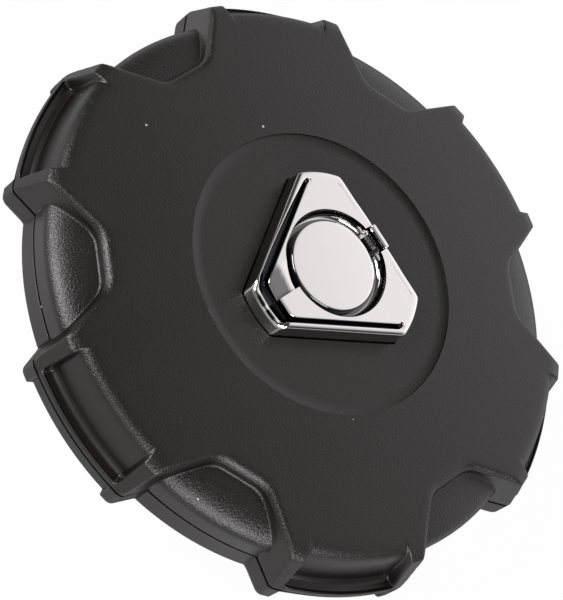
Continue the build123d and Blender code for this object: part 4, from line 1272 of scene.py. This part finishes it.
@dataclass
class DustFlap:
    """The round chromed flap over the keyway, with its two knuckles and its torsion spring.

    Attributes:
        radius: Radius of the disc.
        top_z: Height of the disc's face at its edge.
        thickness: Thickness of the disc.
        edge: Radius of its top edge.
        dish: Height of its crown over the edge.
        under_bevel: Bevel of its lower edge.
        relief: Radius of the relief underneath.
        relief_depth: Depth of that relief.
        hinge_y: Distance from the cap's axis to the pin.
        hinge_z: Height of the pin.
        knuckle_inner: Distance from the middle to a knuckle's inner face.
        knuckle_outer: Distance to its outer face.
        knuckle_radius: Radius of a knuckle's eye.
        knuckle_bevel: Bevel of a knuckle's faces.
        coil: Radius of the spring's coil.
        wire: Radius of its wire.
        turns: Number of its turns.
    """

    radius: float = 9.5
    top_z: float = 38.6
    thickness: float = 1.7
    edge: float = 0.4
    dish: float = 0.05
    under_bevel: float = 0.2
    relief: float = 7.8
    relief_depth: float = 0.6
    hinge_y: float = 11.7
    hinge_z: float = 37.5
    knuckle_inner: float = 1.55
    knuckle_outer: float = 2.4
    knuckle_radius: float = 1.0
    knuckle_bevel: float = 0.08
    coil: float = 1.0
    wire: float = 0.22
    turns: int = 4

    def disc(self, finish: bpy.types.Material) -> bpy.types.Object:
        """Turned disc with a rounded edge, a faint crown and a relief underneath.

        Args:
            finish: Bright plating.

        Returns:
            The disc's object.
        """
        flat, low = self.radius - self.edge, self.top_z - self.edge
        bottom = self.top_z - self.thickness
        rim = [(flat + self.edge * math.sin(turn), low + self.edge * math.cos(turn))
               for turn in np.radians(np.linspace(0.0, 90.0, 7))]
        crown = [(radius, self.top_z + self.dish * (1.0 - (radius / flat) ** 2))
                 for radius in (0.0, 1.5, 3.5, 5.5, 7.5, 8.7)]
        roof = bottom + self.relief_depth
        under = [(self.radius, bottom + self.under_bevel), (self.radius - self.under_bevel, bottom),
                 (self.relief, bottom), (self.relief - 0.1, roof), (0.0, roof)]
        profile = crown + rim + under
        grid = turned_profile(profile, 144)
        # Painted shade: the lower part of the rounded edge and the whole underside take the
        # near-black shade colour.
        deep = np.zeros((len(profile), 1))
        deep[len(crown) + 2:] = 0.9
        piece = Piece("flap_disc", grid, closed_rows=False, body=Body.FLAP, sharp=50.0,
                      masks={"deep": deep})
        return piece.make(finish, "flap_chrome", "dust_flap")

    def knuckle(self, side: int, finish: bpy.types.Material) -> bpy.types.Object:
        """One knuckle: an arm that ends in an eye, carried along the pin's direction.

        Args:
            side: -1 for the left knuckle, 1 for the right.
            finish: Bright plating.

        Returns:
            The knuckle's object.
        """
        turn = np.radians(np.linspace(-118.0, 118.0, 21))
        eye_y = self.hinge_y + self.knuckle_radius * np.cos(turn)
        eye_z = self.hinge_z + self.knuckle_radius * np.sin(turn)
        arm_y = np.array([10.2, 8.9, 8.7, 8.7, 8.9, 10.2])
        arm_z = np.array([38.35, 38.3, 38.1, 37.1, 36.95, 36.85])
        loop = np.stack([np.concatenate([eye_y, arm_y]), np.concatenate([eye_z, arm_z])], axis=-1)
        centre = loop.mean(axis=0)
        near, far, bevel = self.knuckle_inner, self.knuckle_outer, self.knuckle_bevel
        rows = []
        for x, scale in ((near, 0.0), (near, 0.93), (near + bevel, 1.0), (far - bevel, 1.0),
                         (far, 0.93), (far, 0.0)):
            ring = centre + (loop - centre) * scale
            rows.append(np.column_stack([np.full(len(ring), side * x), ring]))
        word = "right" if side > 0 else "left"
        piece = Piece(f"flap_knuckle_{word}", np.stack(rows), closed_rows=False, body=Body.FLAP,
                      sharp=50.0)
        return piece.make(finish, "flap_chrome")

    def spring(self, finish: bpy.types.Material) -> bpy.types.Object:
        """Round wire wound on the pin: a circle carried along a helix, its ends closed.

        Args:
            finish: Dark spring wire.

        Returns:
            The spring's object.
        """
        sides, stations, gap = 8, 121, 0.25
        share = np.linspace(0.0, 1.0, stations)
        turn = share * self.turns * FULL_TURN
        outward = np.stack([np.zeros_like(turn), np.cos(turn), np.sin(turn)], axis=-1)
        x = (self.knuckle_inner - gap) * (2.0 * share - 1.0)
        axis = np.stack([x, np.full_like(x, self.hinge_y), np.full_like(x, self.hinge_z)], axis=-1)
        centre = axis + self.coil * outward
        around = np.linspace(0.0, FULL_TURN, sides, endpoint=False)[None, :, None]
        tube = centre[:, None, :] + self.wire * (np.cos(around) * outward[:, None, :]
                                                 + np.sin(around) * np.array([1.0, 0.0, 0.0]))
        first = np.repeat(centre[:1, None, :], sides, axis=1)
        last = np.repeat(centre[-1:, None, :], sides, axis=1)
        piece = Piece("hinge_spring", np.concatenate([first, tube, last]), closed_rows=False,
                      sharp=60.0)
        return piece.make(finish, "spring_steel", "flap_spring")


@dataclass
class HingeLug:
    """The bright bar that closes the hinge slot at the back of the bezel.

    Attributes:
        half: Half its length.
        front_y: Distance from the cap's axis to its front.
        back_y: Distance to its back.
        bottom_z: Height of its foot.
        top_z: Height of its top.
        round_edge: Rounding of its top edge.
    """

    half: float = 2.7
    front_y: float = 13.07
    back_y: float = 14.2
    bottom_z: float = 34.65
    top_z: float = 39.3
    round_edge: float = 0.28

    def build(self, finish: bpy.types.Material) -> bpy.types.Object:
        """A rounded bar, set behind the slot.

        Args:
            finish: Bright plating.

        Returns:
            The lug's object.
        """
        middle_y, half_y = (self.front_y + self.back_y) / 2.0, (self.back_y - self.front_y) / 2.0
        bar = upright_bar(self.half, half_y, self.bottom_z, self.top_z, self.round_edge)
        piece = Piece("hinge_lug", bar + [0.0, middle_y, 0.0], closed_rows=False, sharp=50.0)
        return piece.make(finish, "bezel_chrome")


# ---- Finishes


@dataclass
class NodeSheet:
    """A small helper that adds and links the nodes of one tree."""

    tree: Any

    def add(self, kind: str, **values: Any) -> Any:
        """Adds a node, sets its options, and sets or links its inputs.

        Args:
            kind: Node type.
            values: Options by name, or inputs by their label with spaces as underscores.

        Returns:
            The node.
        """
        node = self.tree.nodes.new(kind)
        for name, value in values.items():
            if hasattr(node, name):
                setattr(node, name, value)
                continue
            self.feed(node.inputs[name.replace("_", " ")], value)
        return node

    def feed(self, socket: Any, value: Any) -> None:
        """Links an output to a socket, or sets the socket's own value."""
        if isinstance(value, bpy.types.NodeSocket):
            self.tree.links.new(value, socket)
        else:
            socket.default_value = value

    def math(self, operation: str, first: Any, second: Any) -> Any:
        """Adds a Math node and returns its output."""
        node = self.add("ShaderNodeMath", operation=operation)
        self.feed(node.inputs[0], first)
        self.feed(node.inputs[1], second)
        return node.outputs[0]

    def remap(self, value: Any, low: float, high: float, out_low: float, out_high: float) -> Any:
        """Adds a clamped linear Map Range and returns its output.

        Args:
            value: What is mapped.
            low: Its value where the output is out_low.
            high: Its value where the output is out_high.
            out_low: First end of the output.
            out_high: Its other end.

        Returns:
            The node's output.
        """
        node = self.add("ShaderNodeMapRange")
        for label, number in (("Value", value), ("From Min", low), ("From Max", high),
                              ("To Min", out_low), ("To Max", out_high)):
            self.feed(node.inputs[label], number)
        return node.outputs[0]

    def mix(self, share: Any, first: Any, second: Any) -> Any:
        """Adds a Mix node for colours and returns its output.

        Such a node keeps its two colour inputs and its colour output behind those of its other
        kinds, so they are taken by number.

        Args:
            share: Share of the second colour.
            first: First colour.
            second: Second colour.

        Returns:
            The node's colour output.
        """
        first_colour, second_colour, colour_out = 6, 7, 2
        node = self.add("ShaderNodeMix", data_type="RGBA")
        self.feed(node.inputs[0], share)
        self.feed(node.inputs[first_colour], first)
        self.feed(node.inputs[second_colour], second)
        return node.outputs[colour_out]

    def bump(self, shader: Any, height: Any, strength: float, distance: float) -> None:
        """Adds a Bump node that feeds the shader's normal.

        Args:
            shader: The material's shader.
            height: Height of the texture.
            strength: Share of the bump.
            distance: Height in metres of a full step.
        """
        node = self.add("ShaderNodeBump", Height=height, Strength=strength, Distance=distance)
        self.feed(shader.inputs["Normal"], node.outputs[0])


def new_group(name: str, inputs: dict[str, float], output: str) -> tuple[Any, NodeSheet, Any, Any]:
    """Starts a shader node group with named number inputs and one named output.

    Args:
        name: Name of the group.
        inputs: Default of each input by its name.
        output: Name of the output.

    Returns:
        The group, a sheet over it, its input node and its output node.
    """
    group = bpy.data.node_groups.new(name, "ShaderNodeTree")
    for label, value in inputs.items():
        socket = group.interface.new_socket(label, in_out="INPUT", socket_type="NodeSocketFloat")
        socket.default_value = value
    group.interface.new_socket(output, in_out="OUTPUT", socket_type="NodeSocketFloat")
    sheet = NodeSheet(group)
    return group, sheet, sheet.add("NodeGroupInput"), sheet.add("NodeGroupOutput")


class Effects:
    """The effects that several finishes share, each built once as a node group."""

    def __init__(self) -> None:
        """Builds every group."""
        self.grain = self.build_grain()
        self.dust = self.build_dust()
        self.brushed = self.build_brushed()
        self.tone = self.build_tone()

    @staticmethod
    def build_grain() -> Any:
        """Moulded grain: fine pebbles over two sizes of noise.

        Returns:
            A group with Pebble and Fine densities in cells per metre, and a Height output.
        """
        pebble_share, fine_share = 0.7, 0.5
        densities = {"Pebble": 3000.0, "Fine": 7000.0}
        group, sheet, given, result = new_group("moulded_grain", densities, "Height")
        place = sheet.add("ShaderNodeTexCoord").outputs["Object"]
        cells = sheet.add("ShaderNodeTexVoronoi", feature="SMOOTH_F1", Vector=place,
                          Scale=given.outputs["Pebble"])
        fine = sheet.add("ShaderNodeTexNoise", Vector=place, Scale=given.outputs["Fine"],
                         Detail=2.0)
        dome = sheet.math("SUBTRACT", 1.0, cells.outputs["Distance"])
        height = sheet.math("ADD", sheet.math("MULTIPLY", dome, pebble_share),
                            sheet.math("MULTIPLY", fine.outputs["Fac"], fine_share))
        sheet.feed(result.inputs["Height"], height)
        return group

    @staticmethod
    def build_dust() -> Any:
        """Specks of dust: a few small cells of a loose pattern.

        Returns:
            A group with a Density and a Share input, and a Mask output.
        """
        amounts = {"Density": 260.0, "Share": 0.06}
        group, sheet, given, result = new_group("dust_specks", amounts, "Mask")
        place = sheet.add("ShaderNodeTexCoord").outputs["Object"]
        cells = sheet.add("ShaderNodeTexVoronoi", Vector=place, Scale=given.outputs["Density"])
        pick = sheet.add("ShaderNodeSeparateColor", Color=cells.outputs["Color"])
        chosen = sheet.math("LESS_THAN", pick.outputs[0], given.outputs["Share"])
        size = sheet.remap(pick.outputs[1], 0.0, 1.0, 0.03, 0.075)
        spot = sheet.math("LESS_THAN", cells.outputs["Distance"], size)
        sheet.feed(result.inputs["Mask"], sheet.math("MULTIPLY", chosen, spot))
        return group

    @staticmethod
    def build_brushed() -> Any:
        """Fine parallel scratches that cross the piece at a slant.

        Returns:
            A group with a Density input, and a Height output.
        """
        slant, stretched = math.radians(35.0), (6.0, 0.5, 1.0)
        group, sheet, given, result = new_group("fine_scratches", {"Density": 900.0}, "Height")
        place = sheet.add("ShaderNodeTexCoord").outputs["Object"]
        lie = sheet.add("ShaderNodeMapping", Vector=place, Rotation=(0.0, 0.0, slant),
                        Scale=stretched)
        lines = sheet.add("ShaderNodeTexNoise", Vector=lie.outputs[0],
                          Scale=given.outputs["Density"], Detail=3.0)
        sheet.feed(result.inputs["Height"], lines.outputs["Fac"])
        return group

    @staticmethod
    def build_tone() -> Any:
        """Slow unevenness of a surface, for tone and gloss.

        Returns:
            A group with a Size input in cells per metre, and a Value output around 0.5.
        """
        group, sheet, given, result = new_group("slow_tone", {"Size": 45.0}, "Value")
        place = sheet.add("ShaderNodeTexCoord").outputs["Object"]
        cloud = sheet.add("ShaderNodeTexNoise", Vector=place, Scale=given.outputs["Size"],
                          Detail=4.0, Roughness=0.6)
        sheet.feed(result.inputs["Value"], sheet.remap(cloud.outputs["Fac"], 0.3, 0.7, 0.0, 1.0))
        return group


def start_material(name: str) -> tuple[Any, NodeSheet, Any]:
    """Makes a material with one shader and its output.

    Args:
        name: Name of the material.

    Returns:
        The material, a sheet over its tree and the shader node.
    """
    material = bpy.data.materials.new(name)
    material.use_nodes = True
    material.node_tree.nodes.clear()
    sheet = NodeSheet(material.node_tree)
    shader = sheet.add("ShaderNodeBsdfPrincipled")
    output = sheet.add("ShaderNodeOutputMaterial")
    material.node_tree.links.new(shader.outputs[0], output.inputs[0])
    return material, sheet, shader


def place_group(sheet: NodeSheet, group: Any, **values: Any) -> Any:
    """Places a shared effect in a material with its own values.

    Args:
        sheet: Sheet over the material.
        group: The effect's group.
        values: Values of its inputs by name.

    Returns:
        The group's node.
    """
    node = sheet.add("ShaderNodeGroup", node_tree=group)
    for label, value in values.items():
        sheet.feed(node.inputs[label], value)
    return node


@dataclass(frozen=True)
class MouldedPlastic:
    """Dark moulded plastic: grained where a mask says so, smooth elsewhere.

    Attributes:
        name: Name of the material.
        colour: Its darker tone.
        pale: Its paler tone.
        rough_grain: Roughness where it is grained.
        rough_smooth: Roughness where it is smooth.
        smooth_share: Share of the grain's bump where it is smooth.
        grain_height: Height in metres of the grain.
        dust: Colour of the dust specks.
        gloss: Specular level of the open surface.
        gloss_deep: Specular level down in a groove, lowered there as painted shade.
        gloss_grazing: Share of the level that is left at a very flat angle.
    """

    name: str
    colour: tuple[float, float, float, float] = (0.0050, 0.0026, 0.0028, 1.0)
    pale: tuple[float, float, float, float] = (0.0076, 0.0046, 0.0048, 1.0)
    rough_grain: float = 0.34
    rough_smooth: float = 0.33
    smooth_share: float = 0.1
    grain_height: float = 0.00009
    dust: tuple[float, float, float, float] = (0.34, 0.33, 0.31, 1.0)
    gloss: float = 0.5
    gloss_deep: float = 0.05
    gloss_grazing: float = 0.08

    def build(self, effects: Effects) -> bpy.types.Material:
        """Builds the material: grain as bump, slow tone in colour and gloss, and dust specks.

        Args:
            effects: The shared effects.

        Returns:
            The material.
        """
        material, sheet, shader = start_material(self.name)
        mask = sheet.add("ShaderNodeAttribute", attribute_name="grain").outputs["Fac"]
        deep = sheet.add("ShaderNodeAttribute", attribute_name="deep").outputs["Fac"]
        tone = place_group(sheet, effects.tone, Size=38.0).outputs["Value"]
        grain = place_group(sheet, effects.grain).outputs["Height"]
        dust = place_group(sheet, effects.dust).outputs["Mask"]
        colour = sheet.mix(sheet.math("MULTIPLY", tone, 0.55), self.colour, self.pale)
        sheet.feed(shader.inputs["Base Color"], sheet.mix(dust, colour, self.dust))
        rough = sheet.remap(mask, 0.0, 1.0, self.rough_smooth, self.rough_grain)
        uneven = sheet.remap(tone, 0.0, 1.0, -0.03, 0.04)
        sheet.feed(shader.inputs["Roughness"], sheet.math("ADD", rough, uneven))
        facing = sheet.add("ShaderNodeLayerWeight").outputs["Facing"]
        # Painted shade: the deep mask drops the gloss down in grooves, so they read near black.
        level = sheet.remap(deep, 0.0, 1.0, self.gloss, self.gloss_deep)
        left = sheet.remap(facing, 0.58, 0.78, 1.0, self.gloss_grazing)
        sheet.feed(shader.inputs["Specular IOR Level"], sheet.math("MULTIPLY", level, left))
        share = sheet.remap(mask, 0.0, 1.0, self.smooth_share, 1.0)
        sheet.bump(shader, sheet.math("MULTIPLY", grain, share), 1.0, self.grain_height)
        return material


@dataclass(frozen=True)
class BrightPlating:
    """Mirror-like plating with hair-fine scratches and a duller brushed patch under a mask.

    Attributes:
        name: Name of the material.
        colour: Colour of the bright plating.
        dull: Colour of the brushed patch.
        painted_shade: Colour of the painted shade down in a channel, in the hinge slot and on the
            well's floor.
        rough: Roughness of the bright plating.
        rough_brushed: Roughness of the brushed patch.
        scratch_height: Height in metres of the scratches.
    """

    name: str
    colour: tuple[float, float, float, float] = (0.86, 0.82, 0.805, 1.0)
    dull: tuple[float, float, float, float] = (0.2, 0.195, 0.2, 1.0)
    painted_shade: tuple[float, float, float, float] = (0.018, 0.019, 0.027, 1.0)
    rough: float = 0.04
    rough_brushed: float = 0.32
    scratch_height: float = 0.00008

    def build(self, effects: Effects) -> bpy.types.Material:
        """Builds the material: metallic all over, rougher and greyer where it is brushed.

        Args:
            effects: The shared effects.

        Returns:
            The material.
        """
        material, sheet, shader = start_material(self.name)
        shader.inputs["Metallic"].default_value = 1.0
        mask = sheet.add("ShaderNodeAttribute", attribute_name="brushed").outputs["Fac"]
        deep = sheet.add("ShaderNodeAttribute", attribute_name="deep").outputs["Fac"]
        tone = place_group(sheet, effects.tone, Size=160.0).outputs["Value"]
        lines = place_group(sheet, effects.brushed).outputs["Height"]
        colour = sheet.mix(mask, self.colour, self.dull)
        # Painted shade: where the deep mask is set, the colour turns to the near-black shade
        # colour.
        sheet.feed(shader.inputs["Base Color"], sheet.mix(deep, colour, self.painted_shade))
        rough = sheet.remap(mask, 0.0, 1.0, self.rough, self.rough_brushed)
        uneven = sheet.remap(tone, 0.0, 1.0, 0.0, 0.03)
        sheet.feed(shader.inputs["Roughness"], sheet.math("ADD", rough, uneven))
        share = sheet.remap(mask, 0.0, 1.0, 0.02, 0.6)
        sheet.bump(shader, sheet.math("MULTIPLY", lines, share), 0.35, self.scratch_height)
        return material


@dataclass(frozen=True)
class WorkedMetal:
    """Bare or thinly plated metal of the hidden parts: tone, tarnish and fine tool marks.

    Attributes:
        name: Name of the material.
        colour: Its bright tone.
        dark: Its tarnished tone.
        rough: Roughness where it is bright.
        cast: Whether it has a cast skin, and not tool marks.
        marks: Density of the tool marks per metre.
        mark_height: Height in metres of either texture.
    """

    name: str
    colour: tuple[float, float, float, float]
    dark: tuple[float, float, float, float]
    rough: float = 0.34
    cast: bool = False
    marks: float = 700.0
    mark_height: float = 0.00006

    def build(self, effects: Effects) -> bpy.types.Material:
        """Builds the material: slow tarnish in colour and gloss over brushed or cast texture.

        Args:
            effects: The shared effects.

        Returns:
            The material.
        """
        material, sheet, shader = start_material(self.name)
        shader.inputs["Metallic"].default_value = 1.0
        tone = place_group(sheet, effects.tone, Size=120.0).outputs["Value"]
        tarnish = sheet.math("MULTIPLY", tone, 0.7)
        sheet.feed(shader.inputs["Base Color"], sheet.mix(tarnish, self.colour, self.dark))
        rough = sheet.remap(tone, 0.0, 1.0, self.rough, self.rough + 0.14)
        sheet.feed(shader.inputs["Roughness"], rough)
        if self.cast:
            texture = place_group(sheet, effects.grain, Pebble=1500.0, Fine=4200.0)
        else:
            texture = place_group(sheet, effects.brushed, Density=self.marks)
        sheet.bump(shader, texture.outputs["Height"], 0.3, self.mark_height)
        return material


@dataclass(frozen=True)
class MouldedRubber:
    """Black moulded rubber with a faint bloom and fine matt texture.

    Attributes:
        name: Name of the material.
        colour: Near black of the clean rubber.
        bloom: Grey of the bloom.
        grain_height: Height in metres of the texture.
    """

    name: str
    colour: tuple[float, float, float, float] = (0.016, 0.016, 0.017, 1.0)
    bloom: tuple[float, float, float, float] = (0.036, 0.036, 0.037, 1.0)
    grain_height: float = 0.00006

    def build(self, effects: Effects) -> bpy.types.Material:
        """Builds the material: near black, with a grey bloom that dulls it in patches.

        Args:
            effects: The shared effects.

        Returns:
            The material.
        """
        material, sheet, shader = start_material(self.name)
        tone = place_group(sheet, effects.tone, Size=90.0).outputs["Value"]
        sheet.feed(shader.inputs["Base Color"], sheet.mix(tone, self.colour, self.bloom))
        sheet.feed(shader.inputs["Roughness"], sheet.remap(tone, 0.0, 1.0, 0.55, 0.75))
        texture = place_group(sheet, effects.grain, Pebble=2200.0, Fine=7000.0).outputs["Height"]
        sheet.bump(shader, texture, 0.3, self.grain_height)
        return material


class Metal(Enum):
    """Metals of the hidden parts: bright colour, tarnished colour, roughness, cast or not."""

    ZINC = ((0.56, 0.57, 0.58, 1.0), (0.36, 0.37, 0.38, 1.0), 0.38, True)
    STEEL = ((0.58, 0.58, 0.58, 1.0), (0.38, 0.38, 0.38, 1.0), 0.3, False)
    YELLOW_ZINC = ((0.60, 0.56, 0.46, 1.0), (0.44, 0.40, 0.33, 1.0), 0.32, False)
    BRASS = ((0.72, 0.58, 0.30, 1.0), (0.46, 0.36, 0.19, 1.0), 0.28, False)
    ALUMINIUM = ((0.66, 0.67, 0.68, 1.0), (0.48, 0.49, 0.50, 1.0), 0.4, True)


class HiddenParts:
    """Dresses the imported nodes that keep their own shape."""

    finishes = {
        Metal.ZINC: ("lock_housing",),
        Metal.STEEL: ("housing_screws", "guide_screws", "spigot_screws", "lock_bolt", "flap_pin",
                      "main_spring", "seal_retainer", "plug_clip", "vent_spring"),
        Metal.YELLOW_ZINC: ("lock_cam", "bolt_guide", "bayonet_plate", "pressure_plate"),
        Metal.BRASS: ("key_plug", "plug_wafers", "vent_cage"),
        Metal.ALUMINIUM: ("spigot_body", "bayonet_rivets"),
    }

    def dress(self, nodes: dict[str, bpy.types.Object], effects: Effects) -> None:
        """Gives each node its finish.

        Args:
            nodes: The frame's nodes by name.
            effects: The shared effects.
        """
        for metal, names in self.finishes.items():
            finish = WorkedMetal(f"worked_{metal.name.lower()}", *metal.value).build(effects)
            for name in names:
                self.assign(nodes[name], finish)
        grey, pale_grey = (0.05, 0.05, 0.055, 1.0), (0.07, 0.07, 0.075, 1.0)
        poppet = MouldedPlastic("poppet_plastic", grey, pale_grey)
        self.assign(nodes["seal_ring"], MouldedRubber("seal_rubber").build(effects))
        self.assign(nodes["vent_poppet"], poppet.build(effects))

    @staticmethod
    def assign(node: bpy.types.Object, finish: bpy.types.Material) -> None:
        """Puts one finish in every slot of a node."""
        for position in range(len(node.material_slots)):
            node.material_slots[position].material = finish
        LOG.info("node %s: %s", node.name, finish.name)


# ---- Studio


@dataclass
class Studio:
    """Pale floor, soft light and the camera at the photograph's angle.

    Attributes:
        tilt: Angle in degrees between the cap's axis and the line of sight.
        roll: Turn of the picture about the line of sight, in degrees.
        distance: Distance from the face's middle to the camera, in millimetres.
        scale: Pixels per millimetre at the face's middle.
        face_z: Height of the face's middle, in millimetres.
        bright_side: Direction of the surround's white side.
        white: Level of that side.
        near_side: Direction of a smaller pale panel behind the camera.
        near_level: Level of that panel.
        shade: Level of the rest of the surround.
        middle: Pixel of the face's middle.
        frame: Width and height of the picture, in pixels.
        turn: Plan turn of the camera about the cap's axis, in degrees.
        floor_gap: Gap between the cap's lowest face and the floor, in millimetres.
        floor_half: Half the floor's width, in metres.
        floor_colour: Colour of the floor's paint.
        floor_white: Strength of the white that the camera sees there.
        floor_seen: Share of that white, so that the rest keeps the shadow.
        floor_mirrored: Share of it that glossy surfaces mirror.
        lamps: Name, position in metres, size in metres and power in watts of each lamp.
    """

    tilt: float = 38.55
    roll: float = 55.6
    distance: float = 538.27
    scale: float = 5.11
    middle: tuple[float, float] = (324.05, 271.83)
    frame: tuple[int, int] = (563, 600)
    turn: float = 1.8
    face_z: float = 35.0
    bright_side: tuple[float, float, float] = (0.20, 0.932, 0.302)
    white: float = 1.38
    shade: float = 0.06
    near_side: tuple[float, float, float] = (0.14, -0.80, 0.58)
    near_level: float = 0.6
    floor_gap: float = 0.5
    floor_half: float = 3.0
    floor_colour: tuple[float, float, float, float] = (0.3, 0.3, 0.3, 1.0)
    floor_white: float = 1.1
    floor_seen: float = 0.86
    floor_mirrored: float = 0.75
    lamps: tuple[tuple[str, tuple[float, float, float], float, float], ...] = (
        ("key_lamp", (-0.80, -0.61, 0.68), 0.6, 20.0),
        ("side_lamp", (0.77, -0.62, 0.66), 0.7, 15.0))

    def camera(self) -> None:
        """Places the camera from the tilt, roll, distance and picture scale.

        The camera stands back along its own axis from the face's middle, and aside by as much as
        that point lies off the picture's middle.
        """
        sensor = 36.0
        tilt, roll = math.radians(self.tilt), math.radians(self.roll)
        back = Vector((0.0, -math.sin(tilt), math.cos(tilt)))
        level = Vector((1.0, 0.0, 0.0))
        steep = back.cross(level)
        right = math.cos(roll) * level + math.sin(roll) * steep
        up = -math.sin(roll) * level + math.cos(roll) * steep
        focal = self.scale * self.distance
        side = (self.middle[0] - self.frame[0] / 2) / self.scale
        rise = -(self.middle[1] - self.frame[1] / 2) / self.scale
        place = back * self.distance - right * side - up * rise
        data = bpy.data.cameras.new("photo_camera")
        data.sensor_fit = "VERTICAL"
        data.sensor_height = sensor
        data.lens = focal / self.frame[1] * sensor
        data.clip_start, data.clip_end = 0.01, 20.0
        camera = bpy.data.objects.new("photo_camera", data)
        bpy.context.scene.collection.objects.link(camera)
        axes = Matrix((right, up, back)).transposed().to_4x4()
        swing = Matrix.Rotation(math.radians(self.turn), 4, "Z")
        centre = Matrix.Translation(Vector((0.0, 0.0, self.face_z * MILLIMETRE)))
        camera.matrix_world = centre @ swing @ Matrix.Translation(place * MILLIMETRE) @ axes
        bpy.context.scene.camera = camera

    def floor(self) -> None:
        """A wide pale floor that keeps a soft shadow.

        It is white to the camera and in glossy surfaces, and clear from below.
        """
        mesh = bpy.data.meshes.new("studio_floor")
        half, low = self.floor_half, -self.floor_gap * MILLIMETRE
        corners = [(-half, -half, low), (half, -half, low), (half, half, low), (-half, half, low)]
        mesh.from_pydata(corners, [], [(0, 1, 2, 3)])
        floor = bpy.data.objects.new("studio_floor", mesh)
        bpy.context.scene.collection.objects.link(floor)
        material, sheet, shader = start_material("floor_paint")
        shader.inputs["Base Color"].default_value = self.floor_colour
        shader.inputs["Roughness"].default_value = 0.9
        white = (1.0, 1.0, 1.0, 1.0)
        glow = sheet.add("ShaderNodeEmission", Color=white, Strength=self.floor_white)
        path = sheet.add("ShaderNodeLightPath")
        mirrored = sheet.math("MULTIPLY", path.outputs["Is Glossy Ray"], self.floor_mirrored)
        seen = sheet.math("MAXIMUM", path.outputs["Is Camera Ray"], mirrored)
        blend = sheet.add("ShaderNodeMixShader")
        sheet.feed(blend.inputs[0], sheet.math("MULTIPLY", seen, self.floor_seen))
        sheet.feed(blend.inputs[1], shader.outputs[0])
        sheet.feed(blend.inputs[2], glow.outputs[0])
        clear = sheet.add("ShaderNodeMixShader")
        sheet.feed(clear.inputs[0], sheet.add("ShaderNodeNewGeometry").outputs["Backfacing"])
        sheet.feed(clear.inputs[1], blend.outputs[0])
        sheet.feed(clear.inputs[2], sheet.add("ShaderNodeBsdfTransparent").outputs[0])
        sheet.feed(material.node_tree.nodes["Material Output"].inputs[0], clear.outputs[0])
        mesh.materials.append(material)

    def lamp(self, name: str, place: tuple[float, float, float], size: float, power: float) -> None:
        """Adds one soft square lamp that points at the cap.

        Args:
            name: Name of the lamp.
            place: Position in metres.
            size: Side of the square in metres.
            power: Power in watts.
        """
        data = bpy.data.lights.new(name, "AREA")
        data.size = size
        data.energy = power
        lamp = bpy.data.objects.new(name, data)
        bpy.context.scene.collection.objects.link(lamp)
        target = Vector((0.0, 0.0, 0.02))
        turn = (Vector(place) - target).to_track_quat("Z", "Y").to_matrix().to_4x4()
        lamp.matrix_world = Matrix.Translation(Vector(place)) @ turn

    def world(self) -> None:
        """A surround with a large white side behind the cap and a smaller one at the camera."""
        world = bpy.data.worlds.new("studio_world")
        world.use_nodes = True
        sheet = NodeSheet(world.node_tree)
        place = sheet.add("ShaderNodeTexCoord").outputs["Generated"]
        levels = []
        for side, start, end, low, high in (
                (self.bright_side, 0.5, 1.0, self.shade, self.white),
                (self.near_side, 0.86, 0.97, 0.0, self.near_level)):
            facing = sheet.add("ShaderNodeVectorMath", operation="DOT_PRODUCT")
            sheet.feed(facing.inputs[0], place)
            sheet.feed(facing.inputs[1], side)
            levels.append(sheet.remap(facing.outputs["Value"], start, end, low, high))
        background = world.node_tree.nodes["Background"]
        background.inputs["Color"].default_value = (1.0, 1.0, 1.0, 1.0)
        sheet.feed(background.inputs["Strength"], sheet.math("MAXIMUM", *levels))
        bpy.context.scene.world = world

    def build(self) -> None:
        """Sets up the camera, the floor, the surround and the lamps."""
        self.camera()
        self.floor()
        self.world()
        for name, place, size, power in self.lamps:
            self.lamp(name, place, size, power)
        bpy.context.scene.view_settings.view_transform = "Standard"


def main() -> None:
    """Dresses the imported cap."""
    logging.basicConfig(level=logging.INFO, format="%(message)s")
    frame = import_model()
    effects = Effects()
    Studio().build()
    shell_plastic = MouldedPlastic("shell_plastic").build(effects)
    ring_plastic = MouldedPlastic("ring_plastic", rough_smooth=0.4).build(effects)
    bezel_chrome = BrightPlating("bezel_chrome").build(effects)
    flap_chrome = BrightPlating("flap_chrome").build(effects)
    wire = WorkedMetal("spring_wire_and_shade", (0.07, 0.07, 0.075, 1.0), (0.03, 0.03, 0.034, 1.0))
    spring_wire_and_shade = wire.build(effects)
    shell = UpperShell()
    shell.build(shell_plastic)
    shell.stiffeners(shell_plastic)
    LowerRing().build(ring_plastic)
    Bezel().build(bezel_chrome)
    HingeLug().build(bezel_chrome)
    flap = DustFlap()
    flap.disc(flap_chrome)
    flap.knuckle(-1, flap_chrome)
    # The right knuckle takes the dark spring wire finish as painted shade, for its place down in
    # the hinge slot.
    flap.knuckle(1, spring_wire_and_shade)
    flap.spring(spring_wire_and_shade)
    HiddenParts().dress(frame["nodes"], effects)


if __name__ == "__main__":
    main()
